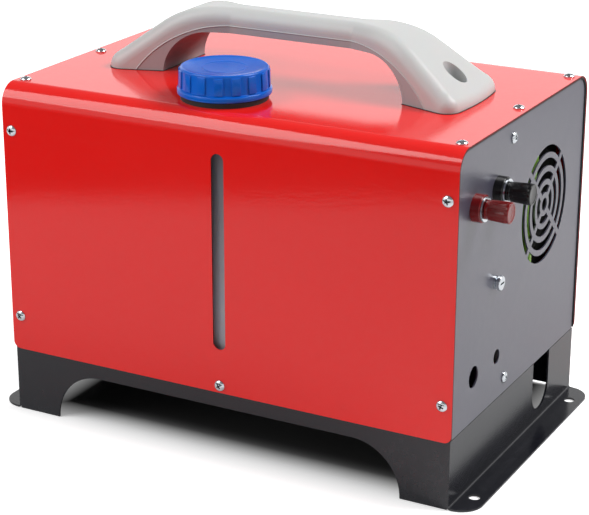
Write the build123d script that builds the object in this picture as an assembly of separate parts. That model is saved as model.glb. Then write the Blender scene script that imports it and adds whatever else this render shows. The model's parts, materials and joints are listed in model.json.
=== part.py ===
from build123d import *
import os
from math import asin, cos, radians, sin, tan

# A portable air heater that burns diesel oil: a sheet steel case with its fuel tank in the front
# bay and the heater unit in the rear bay, on a base with an arch front and back.
# Millimetres. X runs along the case, Y from front to back, Z up. The origin is on the floor,
# midway between the four holes of the foot flanges.

# ---- How far a cutter passes the face it cuts ----
cut_margin = 1.0

# ---- Case ----
cover_width = 380.0
cover_depth = 250.0
cover_top = 269.0
cover_sheet = 1.2
cover_bend = 16.0
cover_corner = 6.0
cover_overlap = 1.0
panel_gap = 0.3
panel_seam = 0.5
panel_flange = 14.0
panel_bend = 2.0

# ---- Base ----
base_height = 54.0
base_sheet = 1.5
arch_half_width = 150.0
arch_height = 40.5
arch_radius = 40.0
wall_return = 12.0
foot_reach = 19.7
foot_corner = 18.0
foot_bend = 1.5
foot_hole_pitch_x = 397.0
foot_hole_pitch_y = 196.0
foot_hole_radius = 4.4
side_slot_y = 54.5
side_slot_width = 34.0
side_slot_floor = 10.0
deck_lip = 12.0
deck_lip_gap = 1.0
deck_pipe_gap = 5.0
rear_wall_gap = 1.7

# ---- Partition between the tank and the heater ----
partition_y = -31.4
partition_clearance = 5.8
partition_flange = 15.0
partition_start = 4.0
partition_foot_x = 110.0
partition_top_gap = 1.0

# ---- Sight slot and front fasteners ----
sight_width = 10.5
sight_bottom = 88.0
sight_top = 241.0
screw_inset = 8.0
upper_screw_drop = 35.5
lower_screw_rise = 27.3
middle_screw_rise = 5.0
top_screw_inset = 21.2
partition_screw_rise = 13.0
partition_screw_drop = 15.0

# ---- Small fasteners ----
screw_head_radius = 4.3
screw_head_height = 2.4
screw_head_dome = 1.44
screw_shank_radius = 1.9
screw_length = 7.0
screw_hole_clearance = 0.15
recess_width = 1.1
recess_reach = 2.6
recess_depth = 1.4
nut_width = 7.0
nut_height = 3.0
large_nut_width = 10.0
large_nut_height = 5.0

# ---- Handle ----
handle_foot_x = 147.0
handle_foot_y = 45.5
handle_bulge = 4.2
handle_inner_x = 103.0
handle_inner_y = 31.5
handle_grip_half_width = 15.0
handle_grip_half_length = 52.0
handle_rise = 51.0
handle_hand_gap = 32.5
handle_gap_radius = 34.0
handle_slope = 36.6
handle_shoulder = 70.0
handle_shell = 5.5
handle_edge = 10.0
handle_corner = 10.5
handle_toe = 5.5
handle_hole_x = 130.6
handle_hole_radius = 9.0
handle_screw_radius = 2.9
handle_screw_head_radius = 5.5
handle_screw_head_height = 4.0
handle_floor = 8.0
handle_socket_width = 5.0
handle_socket_floor = 1.2
handle_screw_tail = 1.0
handle_seam_width = 21.0

# ---- Fuel tank ----
tank_left = -172.0
tank_right = 140.0
tank_front_gap = 3.8
tank_pad_height = 12.0
tank_top_gap = 17.8
tank_wall = 3.0
tank_corner = 12.0
pad_length = 30.0
pad_x = 110.0

# ---- Filler ----
cap_x = -21.5
cap_offset_y = 3.2
neck_radius = 26.0
neck_wall = 3.0
grommet_radius = 33.0
grommet_height = 4.0
grommet_grip = 1.4
grommet_edge = 1.2
grommet_under = 2.5
cap_radius = 35.5
cap_top_radius = 33.0
cap_foot_radius = 33.6
cap_edge = 2.4
cap_skirt_edge = 1.2
cap_height = 20.0
cap_skirt = 4.5
cap_ribs = 16
cap_rib_width = 5.6
cap_rib_proud = 1.0
cap_rib_drop = 3.0
cap_thread_clearance = 0.3
cap_roof = 2.5
cap_seal_thickness = 1.5
cap_seal_width = 7.0
cap_gap = 0.3

# ---- Binding posts ----
red_post_z = 220.8
black_post_z = 222.6
red_post_y = -92.5
black_post_y = -52.0
post_collar_radius = 10.2
post_collar_length = 7.0
post_washer_radius = 9.0
post_washer_thickness = 1.2
post_knob_radius = 7.8
post_knob_length = 18.2
post_gap = 0.3
post_stud_radius = 3.0
post_stud_inner = 16.0
post_backing = 3.0
knob_flutes = 24
knob_flute_radius = 0.7
knob_flute_margin = 2.5
knob_roof = 2.0
post_edge = 0.8
sleeve_wall = 0.14

# ---- Earth bolt and the two plain holes ----
earth_y = -50.0
earth_z = 151.4
earth_washer_radius = 5.2
earth_flat = 1.9
earth_spacer = 0.7
earth_clip = 0.7
earth_head_radius = 5.6
earth_head_height = 2.4
earth_tail = 1.0
earth_head_edge = 0.8
earth_slot_reach = 3.4
earth_slot_width = 1.2
earth_slot_depth = 1.2
earth_spacer_radius = 3.4
large_hole_y = -84.9
large_hole_radius = 8.3
small_hole_y = -41.7
small_hole_radius = 5.7
plain_holes_z = 89.7

# ---- Heater unit ----
heater_back_gap = 22.1
heater_z = 183.6
heater_half_y = 57.5
heater_half_z = 59.0
heater_corner = 30.0
heater_wall = 2.5
casing_gap = 0.3
heater_left = -130.0
heater_right = 168.0
inlet_ring_length = 7.0
inlet_ring_radius = 48.0
hood_plate = 2.0
duct_radius = 37.5
duct_wall = 1.5
duct_proud = 25.0
duct_step = 1.5
duct_step_proud = 0.5
duct_hole_clearance = 0.4

# ---- Grille in the right end panel ----
grille_hub_radius = 5.0
grille_slots = [(9.3, 15.2), (19.5, 25.3), (29.8, 35.8), (40.2, 46.0)]
grille_spoke = 4.5

# ---- Heat exchanger and burner ----
exchanger_left = -118.0
exchanger_right = 36.0
exchanger_radius = 38.0
exchanger_wall = 4.0
fin_count = 24
fin_radius = 52.0
fin_thickness = 2.0
rib_inset = 20.0
rib_length = 10.0
rib_width = 20.0
burner_radius = 30.0
burner_wall = 2.0
burner_flange = 4.0
burner_length = 140.0
housing_radius = 46.0
housing_length = 50.0
impeller_chamber_radius = 38.0
impeller_chamber_depth = 26.0
burner_port_radius = 20.0
spigot_radius = 11.0
spigot_wall = 1.5
spigot_end = 100.0
exhaust_x = 0.0
intake_x = 65.0
plug_x = 50.0
fitting_x = 78.0
fitting_seat_depth = 4.0
fitting_radius = 4.0
boss_half_width = 6.0
plug_boss_radius = 8.0
plug_width = 9.0
plug_height = 4.0
foot_half_width = 22.0
plug_boss_rise = 4.0

# ---- Blower ----
motor_radius = 24.0
motor_length = 42.0
motor_plate = 3.0
motor_chamfer = 1.5
motor_arm_width = 8.0
motor_arm_length = 6.0
shaft_radius = 2.5
shaft_tail = 2.0
shaft_run = 0.05
hub_clearance = 0.02
fan_radius = 45.5
fan_hub_radius = 15.0
fan_length = 18.0
fan_blades = 7
fan_blade = 1.8
fan_pitch = 38.0
impeller_radius = 34.0
impeller_length = 14.0
impeller_vanes = 9
impeller_vane = 1.5
impeller_hub_radius = 8.0
impeller_disc = 2.0
impeller_gap = 4.0
fan_proud = 4.0

# ---- Heater stand, pipes and fasteners ----
stand_left = -40.0
stand_right = 100.0
stand_front_reach = 16.2
stand_back_reach = 27.8
stand_foot = 21.5
stand_screw_edge = 8.0
heater_bolt_inset = 15.0
heater_bolt_half_pitch = 15.0
gasket_thickness = 2.0
gasket_inset = 5.0
stand_pipe_gap = 2.0
pipe_wall = 1.2
pipe_clearance = 0.1
pipe_top = 112.0
pipe_end = 22.0
pipe_hose_length = 28.0
pipe_step = 0.3
clamp_width = 8.0
clamp_thickness = 1.5
clamp_drop = 1.0
clamp_ear = 6.0
stand_screw_radius = 2.4
stand_screw_head_radius = 4.2
stand_screw_head_height = 3.5
stand_screw_length = 6.0

# ---- Fuel line ----
line_y = 9.0
line_rise = 32.0
hose_radius = 3.2
hose_bore = 2.0
nipple_clearance = 0.1
outlet_x = 6.0
outlet_radius = 5.0
outlet_flange_radius = 8.0
outlet_flange = 3.0
outlet_stem_radius = 3.9
outlet_bore = 1.2
outlet_proud = 5.0
hose_end_gap = 1.0
hose_bend_share = 0.45
filter_left = 38.0
filter_length = 28.0
filter_radius = 11.0
filter_edge = 2.5
pump_left = 88.0
pump_length = 56.0
pump_radius = 16.0
pump_chamfer = 3.0
nipple_length = 8.0
plunger_radius = 6.0
plunger_length = 22.0
plunger_stroke = 3.0
plunger_gap = 1.0
plunger_run = 0.05
pump_wall = 9.0
clamp_x = 114.0
clamp_screw_reach = 12.0
band_width = 12.0
band_wall = 2.4
leg_half_width = 5.0
band_foot_half_width = 8.0
hose_panel_gap = 1.4
hose_top_rise = 13.4
hose_top_bend = 18.0
hose_bow = [(-14.2, -43.6), (-26.7, -1.6), (-10.2, 30.4)]
hose_bow_bend = 40.0
hose_lead_in = 30.0

# ---- Control unit and supply leads ----
control_left = -155.0
control_length = 90.0
control_back_gap = 9.8
control_width = 52.0
control_height = 28.0
control_corner = 4.0
lead_radius = 2.5
red_lead_rise = 8.0
black_lead_rise = 21.0
red_lead_inset = 32.0
black_lead_inset = 22.0
socket_length = 10.0
socket_edge = 5.0
lead_bend = 15.0
lug_radius = 6.0
lug_thickness = 1.2
lug_tongue = 3.0
lug_tongue_width = 4.4
grommet_lip = 2.0
grommet_flange = 1.5
grommet_thickness = 5.2
rubber_clearance = 0.1

# ---- Worked out from the sizes above ----
half_width = cover_width / 2
half_depth = cover_depth / 2
inner_half_depth = half_depth - cover_sheet
inner_top = cover_top - cover_sheet
panel_face = half_width - cover_sheet
panel_back = panel_face - cover_sheet
panel_half_depth = inner_half_depth - panel_gap
panel_top = inner_top - panel_gap
panel_bottom = base_height + panel_seam
cover_bottom = base_height - cover_overlap
wall_inner_x = panel_face - base_sheet
wall_inner_y = panel_half_depth - base_sheet
deck_bottom = base_height - base_sheet
screw_x = half_width - screw_inset
top_screw_pitch = half_depth - top_screw_inset
upper_screw_z = cover_top - upper_screw_drop
lower_screw_z = base_height + lower_screw_rise
middle_screw_z = base_height + middle_screw_rise
partition_screw_low = base_height + partition_screw_rise
partition_screw_high = cover_top - partition_screw_drop
partition_screw_y = partition_y + partition_flange / 2 - cover_sheet
tank_front = -inner_half_depth + tank_front_gap
tank_back = partition_y - cover_sheet - partition_clearance
cap_y = (tank_front + tank_back) / 2 + cap_offset_y
tank_bottom = base_height + tank_pad_height
tank_top = inner_top - tank_top_gap
cap_bottom = cover_top + grommet_height + cap_gap
cap_top = cap_bottom + cap_height
seal_bottom = cap_top - cap_roof - cap_gap - cap_seal_thickness
neck_top = seal_bottom - cap_gap
heater_y = inner_half_depth - heater_back_gap - heater_half_y
stand_front = heater_y - stand_front_reach
stand_back = heater_y + stand_back_reach
control_front = inner_half_depth - control_back_gap - control_width
red_lead_z = base_height + red_lead_rise
black_lead_z = base_height + black_lead_rise
red_lead_y = control_front + red_lead_inset
black_lead_y = control_front + black_lead_inset
line_z = base_height + line_rise
stand_top = heater_z - heater_half_z - gasket_thickness
housing_left = exchanger_right + burner_flange
housing_right = housing_left + housing_length
motor_left = housing_right + motor_plate
motor_right = motor_left + motor_length
impeller_left = housing_right - impeller_length - impeller_gap
fan_left = heater_right - fan_length + fan_proud
pump_right = pump_left + pump_length
filter_right = filter_left + filter_length
hose_rise_x = panel_back - hose_panel_gap - hose_radius
hose_top_z = heater_z + heater_half_z + hose_top_rise
plug_seat_rise = housing_radius + plug_boss_rise
fitting_seat = heater_z + housing_radius - fitting_seat_depth
collar_face = panel_face + post_collar_length
knob_face = collar_face + 2 * post_gap + post_washer_thickness
handle_top = cover_top + handle_rise
handle_grip_underside = cover_top + handle_hand_gap
handle_seam_foot = handle_inner_x + handle_seam_width
earth_stack = earth_flat + earth_spacer + earth_clip
red_post = (red_post_y, red_post_z)
black_post = (black_post_y, black_post_z)
post_places = [red_post, black_post]
lead_x = panel_back - post_backing - large_nut_height - lug_thickness / 2
clamp_screw_offsets = (-clamp_screw_reach, clamp_screw_reach)
lead_heights = [red_lead_z, black_lead_z]
outlet_end = partition_y + outlet_proud
socket_end = control_left + control_length + socket_length


def at(point, direction):
    """A place whose Z axis points along a direction."""
    return Plane(origin=point, z_dir=direction).location


def block(x0, x1, y0, y1, z0, z1):
    """A box between two opposite corners, given in either order."""
    size = Box(abs(x1 - x0), abs(y1 - y0), abs(z1 - z0))
    return Pos((x0 + x1) / 2, (y0 + y1) / 2, (z0 + z1) / 2) * size


def rod(point, direction, radius, length):
    """A round bar that starts at a point and runs along a direction."""
    bar = Cylinder(radius, length, align=(Align.CENTER, Align.CENTER, Align.MIN))
    return at(point, direction) * bar


def drill(point, direction, radius, depth):
    """A round cutter through a wall that starts at a point, a little past both its faces."""
    start = Vector(point) - Vector(direction) * cut_margin
    return rod(start, direction, radius, depth + 2 * cut_margin)


def tube(point, direction, radius, bore, length):
    """A round bar with a hole along it."""
    return rod(point, direction, radius, length) - rod(point, direction, bore, length)


def hexagon(point, direction, width, height):
    """A hexagonal bar, measured across its flats."""
    outline = RegularPolygon(width / 2, 6, major_radius=False)
    return at(point, direction) * extrude(outline, height)


def group(solids):
    """Several separate solids in one sub-part."""
    return Compound(children=[item for solid in solids for item in solid.solids()])


def mirrored(shape):
    """The same shape on the other side of the middle of the case's length."""
    return mirror(shape, about=Plane.YZ)


def swept(path, profile, name):
    """A profile carried along a path, with its volume compared with section times length."""
    section = Plane(origin=path @ 0, z_dir=path % 0) * profile
    solid = sweep(section, path=path)
    print(f"{name}: {solid.volume / (profile.area * path.length):.4f} of section times length")
    return solid


# ---- Places that several pieces share ----
def cover_screw_places():
    """Where the screws of the cover sit, as a point on its outside and the outward direction."""
    places = []
    for face in (-1, 1):
        for side in (-1, 1):
            for height in (upper_screw_z, lower_screw_z):
                places.append(((side * screw_x, face * half_depth, height), (0, face, 0)))
        places.append(((0, face * half_depth, middle_screw_z), (0, face, 0)))
    for side in (-1, 1):
        for along in (-top_screw_pitch, 0, top_screw_pitch):
            places.append(((side * screw_x, along, cover_top), (0, 0, 1)))
    return places


def panel_screw_places():
    """Where the screws through the end panels into the partition sit."""
    heights = (partition_screw_low, partition_screw_high)
    return [((side * panel_face, partition_screw_y, height), (side, 0, 0))
            for side in (-1, 1) for height in heights]


def screw_holes(places):
    """The clearance holes of a set of screws, through whatever sheet they pass."""
    radius = screw_shank_radius + screw_hole_clearance
    return [drill(point, -Vector(direction), radius, screw_length) for point, direction in places]


def stand_screw_places():
    """Where the screws of the stand and the pump clamp sit, on top of the feet."""
    height = base_height + base_sheet
    rows = (stand_front + stand_screw_edge, stand_back - stand_screw_edge)
    columns = (stand_left - stand_foot / 2, stand_right + stand_foot / 2)
    places = [(x, y, height) for x in columns for y in rows]
    places += [(clamp_x + offset, line_y, height) for offset in clamp_screw_offsets]
    return places


def heater_bolt_places():
    """Where the bolts from the stand up into the heater casing sit."""
    return [(x, heater_y + y, stand_top - base_sheet)
            for x in (stand_left + heater_bolt_inset, stand_right - heater_bolt_inset)
            for y in (-heater_bolt_half_pitch, heater_bolt_half_pitch)]


# ---- Case ----
def cover():
    """One bent sheet: front, top and back, with the sight slot and the filler hole."""
    outer = Plane.YZ * Pos(0, (cover_top + cover_bottom) / 2) * Rectangle(
        cover_depth, cover_top - cover_bottom)
    outer_solid = extrude(outer, half_width, both=True)
    outer_solid = fillet(outer_solid.edges().filter_by(Axis.X).group_by(Axis.Z)[-1], cover_bend)
    hollow = block(-half_width, half_width, -inner_half_depth, inner_half_depth,
                   cover_bottom - cut_margin, inner_top)
    hollow = fillet(hollow.edges().filter_by(Axis.X).group_by(Axis.Z)[-1], cover_bend - cover_sheet)
    body = outer_solid - hollow
    corners = body.edges().filter_by(Axis.Y).group_by(Axis.Z)[0]
    body = fillet(corners, cover_corner)
    slot_radius = sight_width / 2
    for z in (sight_bottom + slot_radius, sight_top - slot_radius):
        body -= drill((0, -half_depth, z), (0, 1, 0), slot_radius, cover_sheet)
    body -= block(-slot_radius, slot_radius, -half_depth - cut_margin, -inner_half_depth + cut_margin,
                  sight_bottom + slot_radius, sight_top - slot_radius)
    body -= drill((cap_x, cap_y, inner_top), (0, 0, 1), neck_radius + grommet_grip, cover_sheet)
    for side in (-1, 1):
        radius = handle_screw_radius + screw_hole_clearance
        body -= drill((side * handle_hole_x, 0, inner_top), (0, 0, 1), radius, cover_sheet)
    for hole in screw_holes(cover_screw_places()):
        body -= hole
    return body


def panel_tray():
    """A right end panel without its openings: a face with a flange along front, top and back."""
    inner_radius = cover_bend - cover_sheet - panel_gap
    solid = block(panel_face - panel_flange, panel_face, -panel_half_depth, panel_half_depth,
                  panel_bottom, panel_top)
    solid = fillet(solid.edges().filter_by(Axis.X).group_by(Axis.Z)[-1], inner_radius)
    face_edges = solid.edges().group_by(Axis.X)[-1]
    solid = fillet(face_edges.filter_by(lambda edge: edge.center().Z > panel_bottom + cut_margin), panel_bend)
    hollow = block(panel_face - panel_flange - cut_margin, panel_back, -panel_half_depth + cover_sheet,
                   panel_half_depth - cover_sheet, panel_bottom - cut_margin, panel_top - cover_sheet)
    hollow = fillet(hollow.edges().filter_by(Axis.X).group_by(Axis.Z)[-1], inner_radius - cover_sheet)
    back_edges = hollow.edges().group_by(Axis.X)[-1]
    back_edges = back_edges.filter_by(lambda edge: edge.center().Z > panel_bottom)
    hollow = fillet(back_edges, panel_bend - cover_sheet)
    return solid - hollow


def grille_cutter():
    """The round slots of the fan grille, split by four slanted spokes."""
    openings = Circle(grille_hub_radius)
    for inner, outer in grille_slots:
        openings += Circle(outer) - Circle(inner)
    spoke = Rectangle(cover_depth, grille_spoke)
    spokes = Rot(0, 0, 45) * spoke + Rot(0, 0, -45) * spoke
    ring_part = openings - (spokes - Circle(grille_hub_radius))
    start = (panel_back - cut_margin, heater_y, heater_z)
    plane = Plane(origin=start, x_dir=(0, 1, 0), z_dir=(1, 0, 0))
    return plane * extrude(ring_part, cover_sheet + 2 * cut_margin)


def end_panel_right():
    """The end panel with the fan grille, the posts and the earth bolt."""
    panel = panel_tray() - grille_cutter()
    stud_hole = post_stud_radius + screw_hole_clearance
    earth_hole = screw_shank_radius + screw_hole_clearance
    holes = [(large_hole_y, plain_holes_z, large_hole_radius),
             (small_hole_y, plain_holes_z, small_hole_radius), (earth_y, earth_z, earth_hole)]
    holes += [(y, z, stud_hole) for y, z in post_places]
    for y, z, radius in holes:
        panel -= drill((panel_back, y, z), (1, 0, 0), radius, cover_sheet)
    for hole in screw_holes(cover_screw_places() + panel_screw_places()):
        panel -= hole
    return panel


def end_panel_left():
    """The end panel with the hole for the hot air duct."""
    panel = mirrored(panel_tray())
    radius = duct_radius + duct_step + duct_hole_clearance
    panel -= drill((-panel_face, heater_y, heater_z), (1, 0, 0), radius, cover_sheet)
    for hole in screw_holes(cover_screw_places() + panel_screw_places()):
        panel -= hole
    return panel


# ---- Base ----
def base_front_wall():
    """The front wall of the base, with its arch and a return at each end."""
    wall = block(-wall_inner_x, wall_inner_x, -panel_half_depth, -wall_inner_y, 0, deck_bottom)
    for side in (-1, 1):
        outer = side * wall_inner_x
        wall += block(outer - side * base_sheet, outer, -panel_half_depth, -wall_inner_y + wall_return,
                      base_sheet, deck_bottom)
    arch = block(-arch_half_width, arch_half_width, -panel_half_depth - cut_margin,
                 -wall_inner_y + cut_margin, -arch_height, arch_height)
    arch = fillet(arch.edges().filter_by(Axis.Y).group_by(Axis.Z)[-1], arch_radius)
    lip = block(-wall_inner_x, wall_inner_x, -panel_half_depth, -wall_inner_y, arch_height, base_height)
    return wall + lip - arch


def base_rear_wall():
    """The rear wall of the base, which stops a little above the floor."""
    floor_gap = block(-half_width, half_width, wall_inner_y - wall_return, half_depth, -cut_margin,
                      rear_wall_gap)
    return mirror(base_front_wall(), about=Plane.XZ) - floor_gap


def base_side_left():
    """A side wall bent outwards at its foot into a flange with two bolt holes."""
    reach = panel_face + foot_reach
    flange = block(-reach, -wall_inner_x, -panel_half_depth, panel_half_depth, 0, base_sheet)
    corners = flange.edges().filter_by(Axis.Z).group_by(Axis.X)[0]
    flange = fillet(corners, foot_corner)
    wall = flange + block(-panel_face, -wall_inner_x, -panel_half_depth, panel_half_depth, 0, base_height)
    long_edges = wall.edges().filter_by(Axis.Y)
    inner_bend = long_edges.sort_by_distance((-panel_face, 0, base_sheet))[0]
    wall = fillet(inner_bend, foot_bend)
    outer_bend = wall.edges().filter_by(Axis.Y).sort_by_distance((-wall_inner_x, 0, 0))[0]
    wall = fillet(outer_bend, foot_bend + base_sheet)
    for y in (-foot_hole_pitch_y / 2, foot_hole_pitch_y / 2):
        wall -= drill((-foot_hole_pitch_x / 2, y, 0), (0, 0, 1), foot_hole_radius, base_sheet)
    return wall


def base_side_right():
    """The same side wall at the other end, with the slot for the exhaust hose."""
    radius = side_slot_width / 2
    centre = side_slot_floor + radius
    slot = drill((wall_inner_x, side_slot_y, centre), (1, 0, 0), radius, base_sheet)
    slot += block(wall_inner_x - cut_margin, panel_face + cut_margin, side_slot_y - radius,
                  side_slot_y + radius, centre, base_height + cut_margin)
    return mirrored(base_side_left()) - slot


def deck_plate():
    """The floor of the case, with a lip turned up behind the cover at front and back."""
    deck = block(-wall_inner_x, wall_inner_x, -wall_inner_y, wall_inner_y, deck_bottom, base_height)
    for side in (-1, 1):
        reach = panel_face - panel_flange - deck_lip_gap
        deck += block(-reach, reach, side * (wall_inner_y - base_sheet), side * wall_inner_y,
                      deck_bottom, base_height + deck_lip)
    for x in (exhaust_x, intake_x):
        deck -= drill((x, heater_y, deck_bottom), (0, 0, 1), spigot_radius + deck_pipe_gap, base_sheet)
    for x, y, z in stand_screw_places():
        radius = stand_screw_radius + screw_hole_clearance
        deck -= drill((x, y, deck_bottom), (0, 0, 1), radius, base_sheet)
    for hole in screw_holes(cover_screw_places()):
        deck -= hole
    return deck


def partition_plate():
    """The wall between the tank and the heater, with a flange at each end for the panel screws."""
    front = partition_y - cover_sheet
    bottom = base_height + partition_start
    top = panel_top - cover_sheet - partition_top_gap
    plate = block(-panel_back, panel_back, front, partition_y, bottom, top)
    for side in (-1, 1):
        plate += block(side * (panel_back - cover_sheet), side * panel_back, front,
                       front + partition_flange, bottom, top)
    plate += block(-partition_foot_x, partition_foot_x, front, partition_y, base_height, bottom)
    holes = [(outlet_x, line_z, outlet_radius)] + [(lead_x, z, lead_radius) for z in lead_heights]
    for x, z, radius in holes:
        plate -= drill((x, front, z), (0, 1, 0), radius + grommet_lip, cover_sheet)
    for hole in screw_holes(panel_screw_places()):
        plate -= hole
    return plate


def ring_grommet(x, z, bore):
    """A rubber ring with a groove that grips the edge of a hole in the partition."""
    front = partition_y - cover_sheet
    start = front - (grommet_thickness - cover_sheet) / 2
    lip = bore + grommet_lip
    ring = rod((x, start, z), (0, 1, 0), lip + grommet_flange, grommet_thickness)
    ring -= tube((x, front, z), (0, 1, 0), lip + grommet_flange + cut_margin, lip - rubber_clearance,
                 cover_sheet)
    return ring - drill((x, start, z), (0, 1, 0), bore + 2 * rubber_clearance, grommet_thickness)


def partition_grommets():
    """The grommets round the tank outlet and the two leads."""
    return group([ring_grommet(outlet_x, line_z, outlet_radius),
                  ring_grommet(lead_x, red_lead_z, lead_radius),
                  ring_grommet(lead_x, black_lead_z, lead_radius)])


# ---- Fasteners ----
def pan_screw(point, direction):
    """A pan head screw with a cross recess, its head seated at a point."""
    head = Cylinder(screw_head_radius, screw_head_height, align=(Align.CENTER, Align.CENTER, Align.MIN))
    head = fillet(head.edges().group_by(Axis.Z)[-1], screw_head_dome)
    shank = Pos(0, 0, -screw_length) * Cylinder(
        screw_shank_radius, screw_length, align=(Align.CENTER, Align.CENTER, Align.MIN))
    middle = screw_head_height - recess_depth / 2
    screw = head + shank
    screw -= Pos(0, 0, middle) * Box(2 * recess_reach, recess_width, recess_depth)
    screw -= Pos(0, 0, middle) * Box(recess_width, 2 * recess_reach, recess_depth)
    return at(point, direction) * screw


def case_screws():
    """All the identical screws of the cover and the end panels."""
    return group([pan_screw(*place) for place in cover_screw_places() + panel_screw_places()])


def ring_nut(point, direction, width, bore, height):
    """A hexagonal nut that starts at a point and runs along a direction."""
    nut = hexagon(point, direction, width, height)
    return nut - rod(point, direction, bore, height)


def case_nuts():
    """The nuts behind the sheet that each case screw passes through."""
    nuts = []
    bore = screw_shank_radius + hub_clearance
    for point, direction in cover_screw_places():
        inward = -Vector(direction)
        depth = cover_sheet + panel_gap + cover_sheet
        if point[2] == middle_screw_z:
            depth = half_depth - wall_inner_y + base_sheet
        nuts.append(ring_nut(Vector(point) + inward * depth, inward, nut_width, bore, nut_height))
    for point, direction in panel_screw_places():
        inward = -Vector(direction)
        depth = 2 * cover_sheet
        nuts.append(ring_nut(Vector(point) + inward * depth, inward, nut_width, bore, nut_height))
    return group(nuts)


def handle_screws():
    """The two screws down through the feet of the handle."""
    seat = cover_top + handle_floor
    length = seat - inner_top + large_nut_height + handle_screw_tail
    screws = []
    for side in (-1, 1):
        x = side * handle_hole_x
        screw = rod((x, 0, seat), (0, 0, 1), handle_screw_head_radius, handle_screw_head_height)
        screw += rod((x, 0, seat), (0, 0, -1), handle_screw_radius, length)
        socket = hexagon((x, 0, seat + handle_socket_floor), (0, 0, 1), handle_socket_width,
                         handle_screw_head_height)
        screws.append(screw - socket)
    return group(screws)


def hex_nuts():
    """The larger nuts: under the handle screws and behind the two posts."""
    nuts = []
    for side in (-1, 1):
        point = (side * handle_hole_x, 0, inner_top)
        nuts.append(ring_nut(point, (0, 0, -1), large_nut_width, handle_screw_radius + hub_clearance,
                             large_nut_height))
    for y, z in post_places:
        point = (panel_back - post_backing, y, z)
        nuts.append(ring_nut(point, (-1, 0, 0), large_nut_width, post_stud_radius + hub_clearance,
                             large_nut_height))
    return group(nuts)


# ---- Handle ----
def handle_plan():
    """The outline of the handle from above: a narrow grip that flares into two feet."""
    grip = handle_grip_half_length
    half = handle_grip_half_width
    outline = [Line((-grip, half), (grip, half)),
               Line((grip, half), (handle_inner_x, handle_inner_y)),
               Line((handle_inner_x, handle_inner_y), (handle_foot_x, handle_foot_y)),
               ThreePointArc((handle_foot_x, handle_foot_y), (handle_foot_x + handle_bulge, 0),
                             (handle_foot_x, -handle_foot_y)),
               Line((handle_foot_x, -handle_foot_y), (handle_inner_x, -handle_inner_y)),
               Line((handle_inner_x, -handle_inner_y), (grip, -half)),
               Line((grip, -half), (-grip, -half)),
               Line((-grip, -half), (-handle_inner_x, -handle_inner_y)),
               Line((-handle_inner_x, -handle_inner_y), (-handle_foot_x, -handle_foot_y)),
               ThreePointArc((-handle_foot_x, -handle_foot_y), (-handle_foot_x - handle_bulge, 0),
                             (-handle_foot_x, handle_foot_y)),
               Line((-handle_foot_x, handle_foot_y), (-handle_inner_x, handle_inner_y)),
               Line((-handle_inner_x, handle_inner_y), (-grip, half))]
    return make_face(Wire(outline))


def sloped_outline():
    """The front view of the handle: level along the grip, a shoulder arc, then straight down."""
    reach = handle_foot_x + handle_bulge
    toe = cover_top + handle_toe
    slope = radians(handle_slope)
    corner_x = reach - (handle_top - toe) / tan(slope)
    tangent = handle_shoulder * tan(slope / 2)
    start = corner_x - tangent
    end_x = corner_x + tangent * cos(slope)
    end_z = handle_top - tangent * sin(slope)
    middle_x = start + handle_shoulder * sin(slope / 2)
    middle_z = handle_top - handle_shoulder * (1 - cos(slope / 2))
    floor = cover_top - cut_margin
    outline = [Line((-start, handle_top), (start, handle_top)),
               ThreePointArc((start, handle_top), (middle_x, middle_z), (end_x, end_z)),
               Line((end_x, end_z), (reach, toe)), Line((reach, toe), (reach, floor)),
               Line((reach, floor), (-reach, floor)), Line((-reach, floor), (-reach, toe)),
               Line((-reach, toe), (-end_x, end_z)),
               ThreePointArc((-end_x, end_z), (-middle_x, middle_z), (-start, handle_top))]
    return make_face(Wire(outline))


def handle_seam():
    """The front view of the parting line, which meets the cover inside each foot."""
    flat = handle_grip_half_length
    top = handle_grip_underside + handle_shell
    run = handle_seam_foot - flat
    drop = top - cover_top
    radius = (run ** 2 + drop ** 2) / (2 * drop)
    half_turn = asin(run / radius) / 2
    middle_x = flat + radius * sin(half_turn)
    middle_z = top - radius * (1 - cos(half_turn))
    foot = handle_seam_foot
    floor = cover_top - cut_margin
    outline = [Line((-flat, top), (flat, top)),
               ThreePointArc((flat, top), (middle_x, middle_z), (foot, cover_top)),
               Line((foot, cover_top), (foot, floor)), Line((foot, floor), (-foot, floor)),
               Line((-foot, floor), (-foot, cover_top)),
               ThreePointArc((-foot, cover_top), (-middle_x, middle_z), (-flat, top))]
    return make_face(Wire(outline))


def handle_gap():
    """The space under the grip that the hand goes through."""
    reach = handle_foot_x
    gap = block(-handle_inner_x, handle_inner_x, -reach, reach, cover_top - handle_hand_gap,
                handle_grip_underside)
    return fillet(gap.edges().filter_by(Axis.Y).group_by(Axis.Z)[-1], handle_gap_radius)


def front_extrusion(face):
    """A face drawn from the front, carried through the whole depth of the handle."""
    plane = Plane(origin=(0, 0, 0), x_dir=(1, 0, 0), z_dir=(0, -1, 0))
    return plane * extrude(face, handle_foot_y + cut_margin, both=True)


def handle_body():
    """The whole handle before it is divided: plan and front outline brought together."""
    plan = Pos(0, 0, cover_top) * extrude(handle_plan(), handle_top - cover_top + cut_margin)
    plan = fillet(plan.edges().filter_by(Axis.Z), handle_corner)
    body = plan & front_extrusion(sloped_outline())
    upright = body.edges().filter_by(Axis.Z)
    rim = [edge for edge in body.edges() if edge not in upright
           and abs(edge.center().Y) > handle_grip_half_width / 2
           and edge.center().Z > cover_top + handle_toe / 2]
    return fillet(rim, handle_edge)


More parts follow.
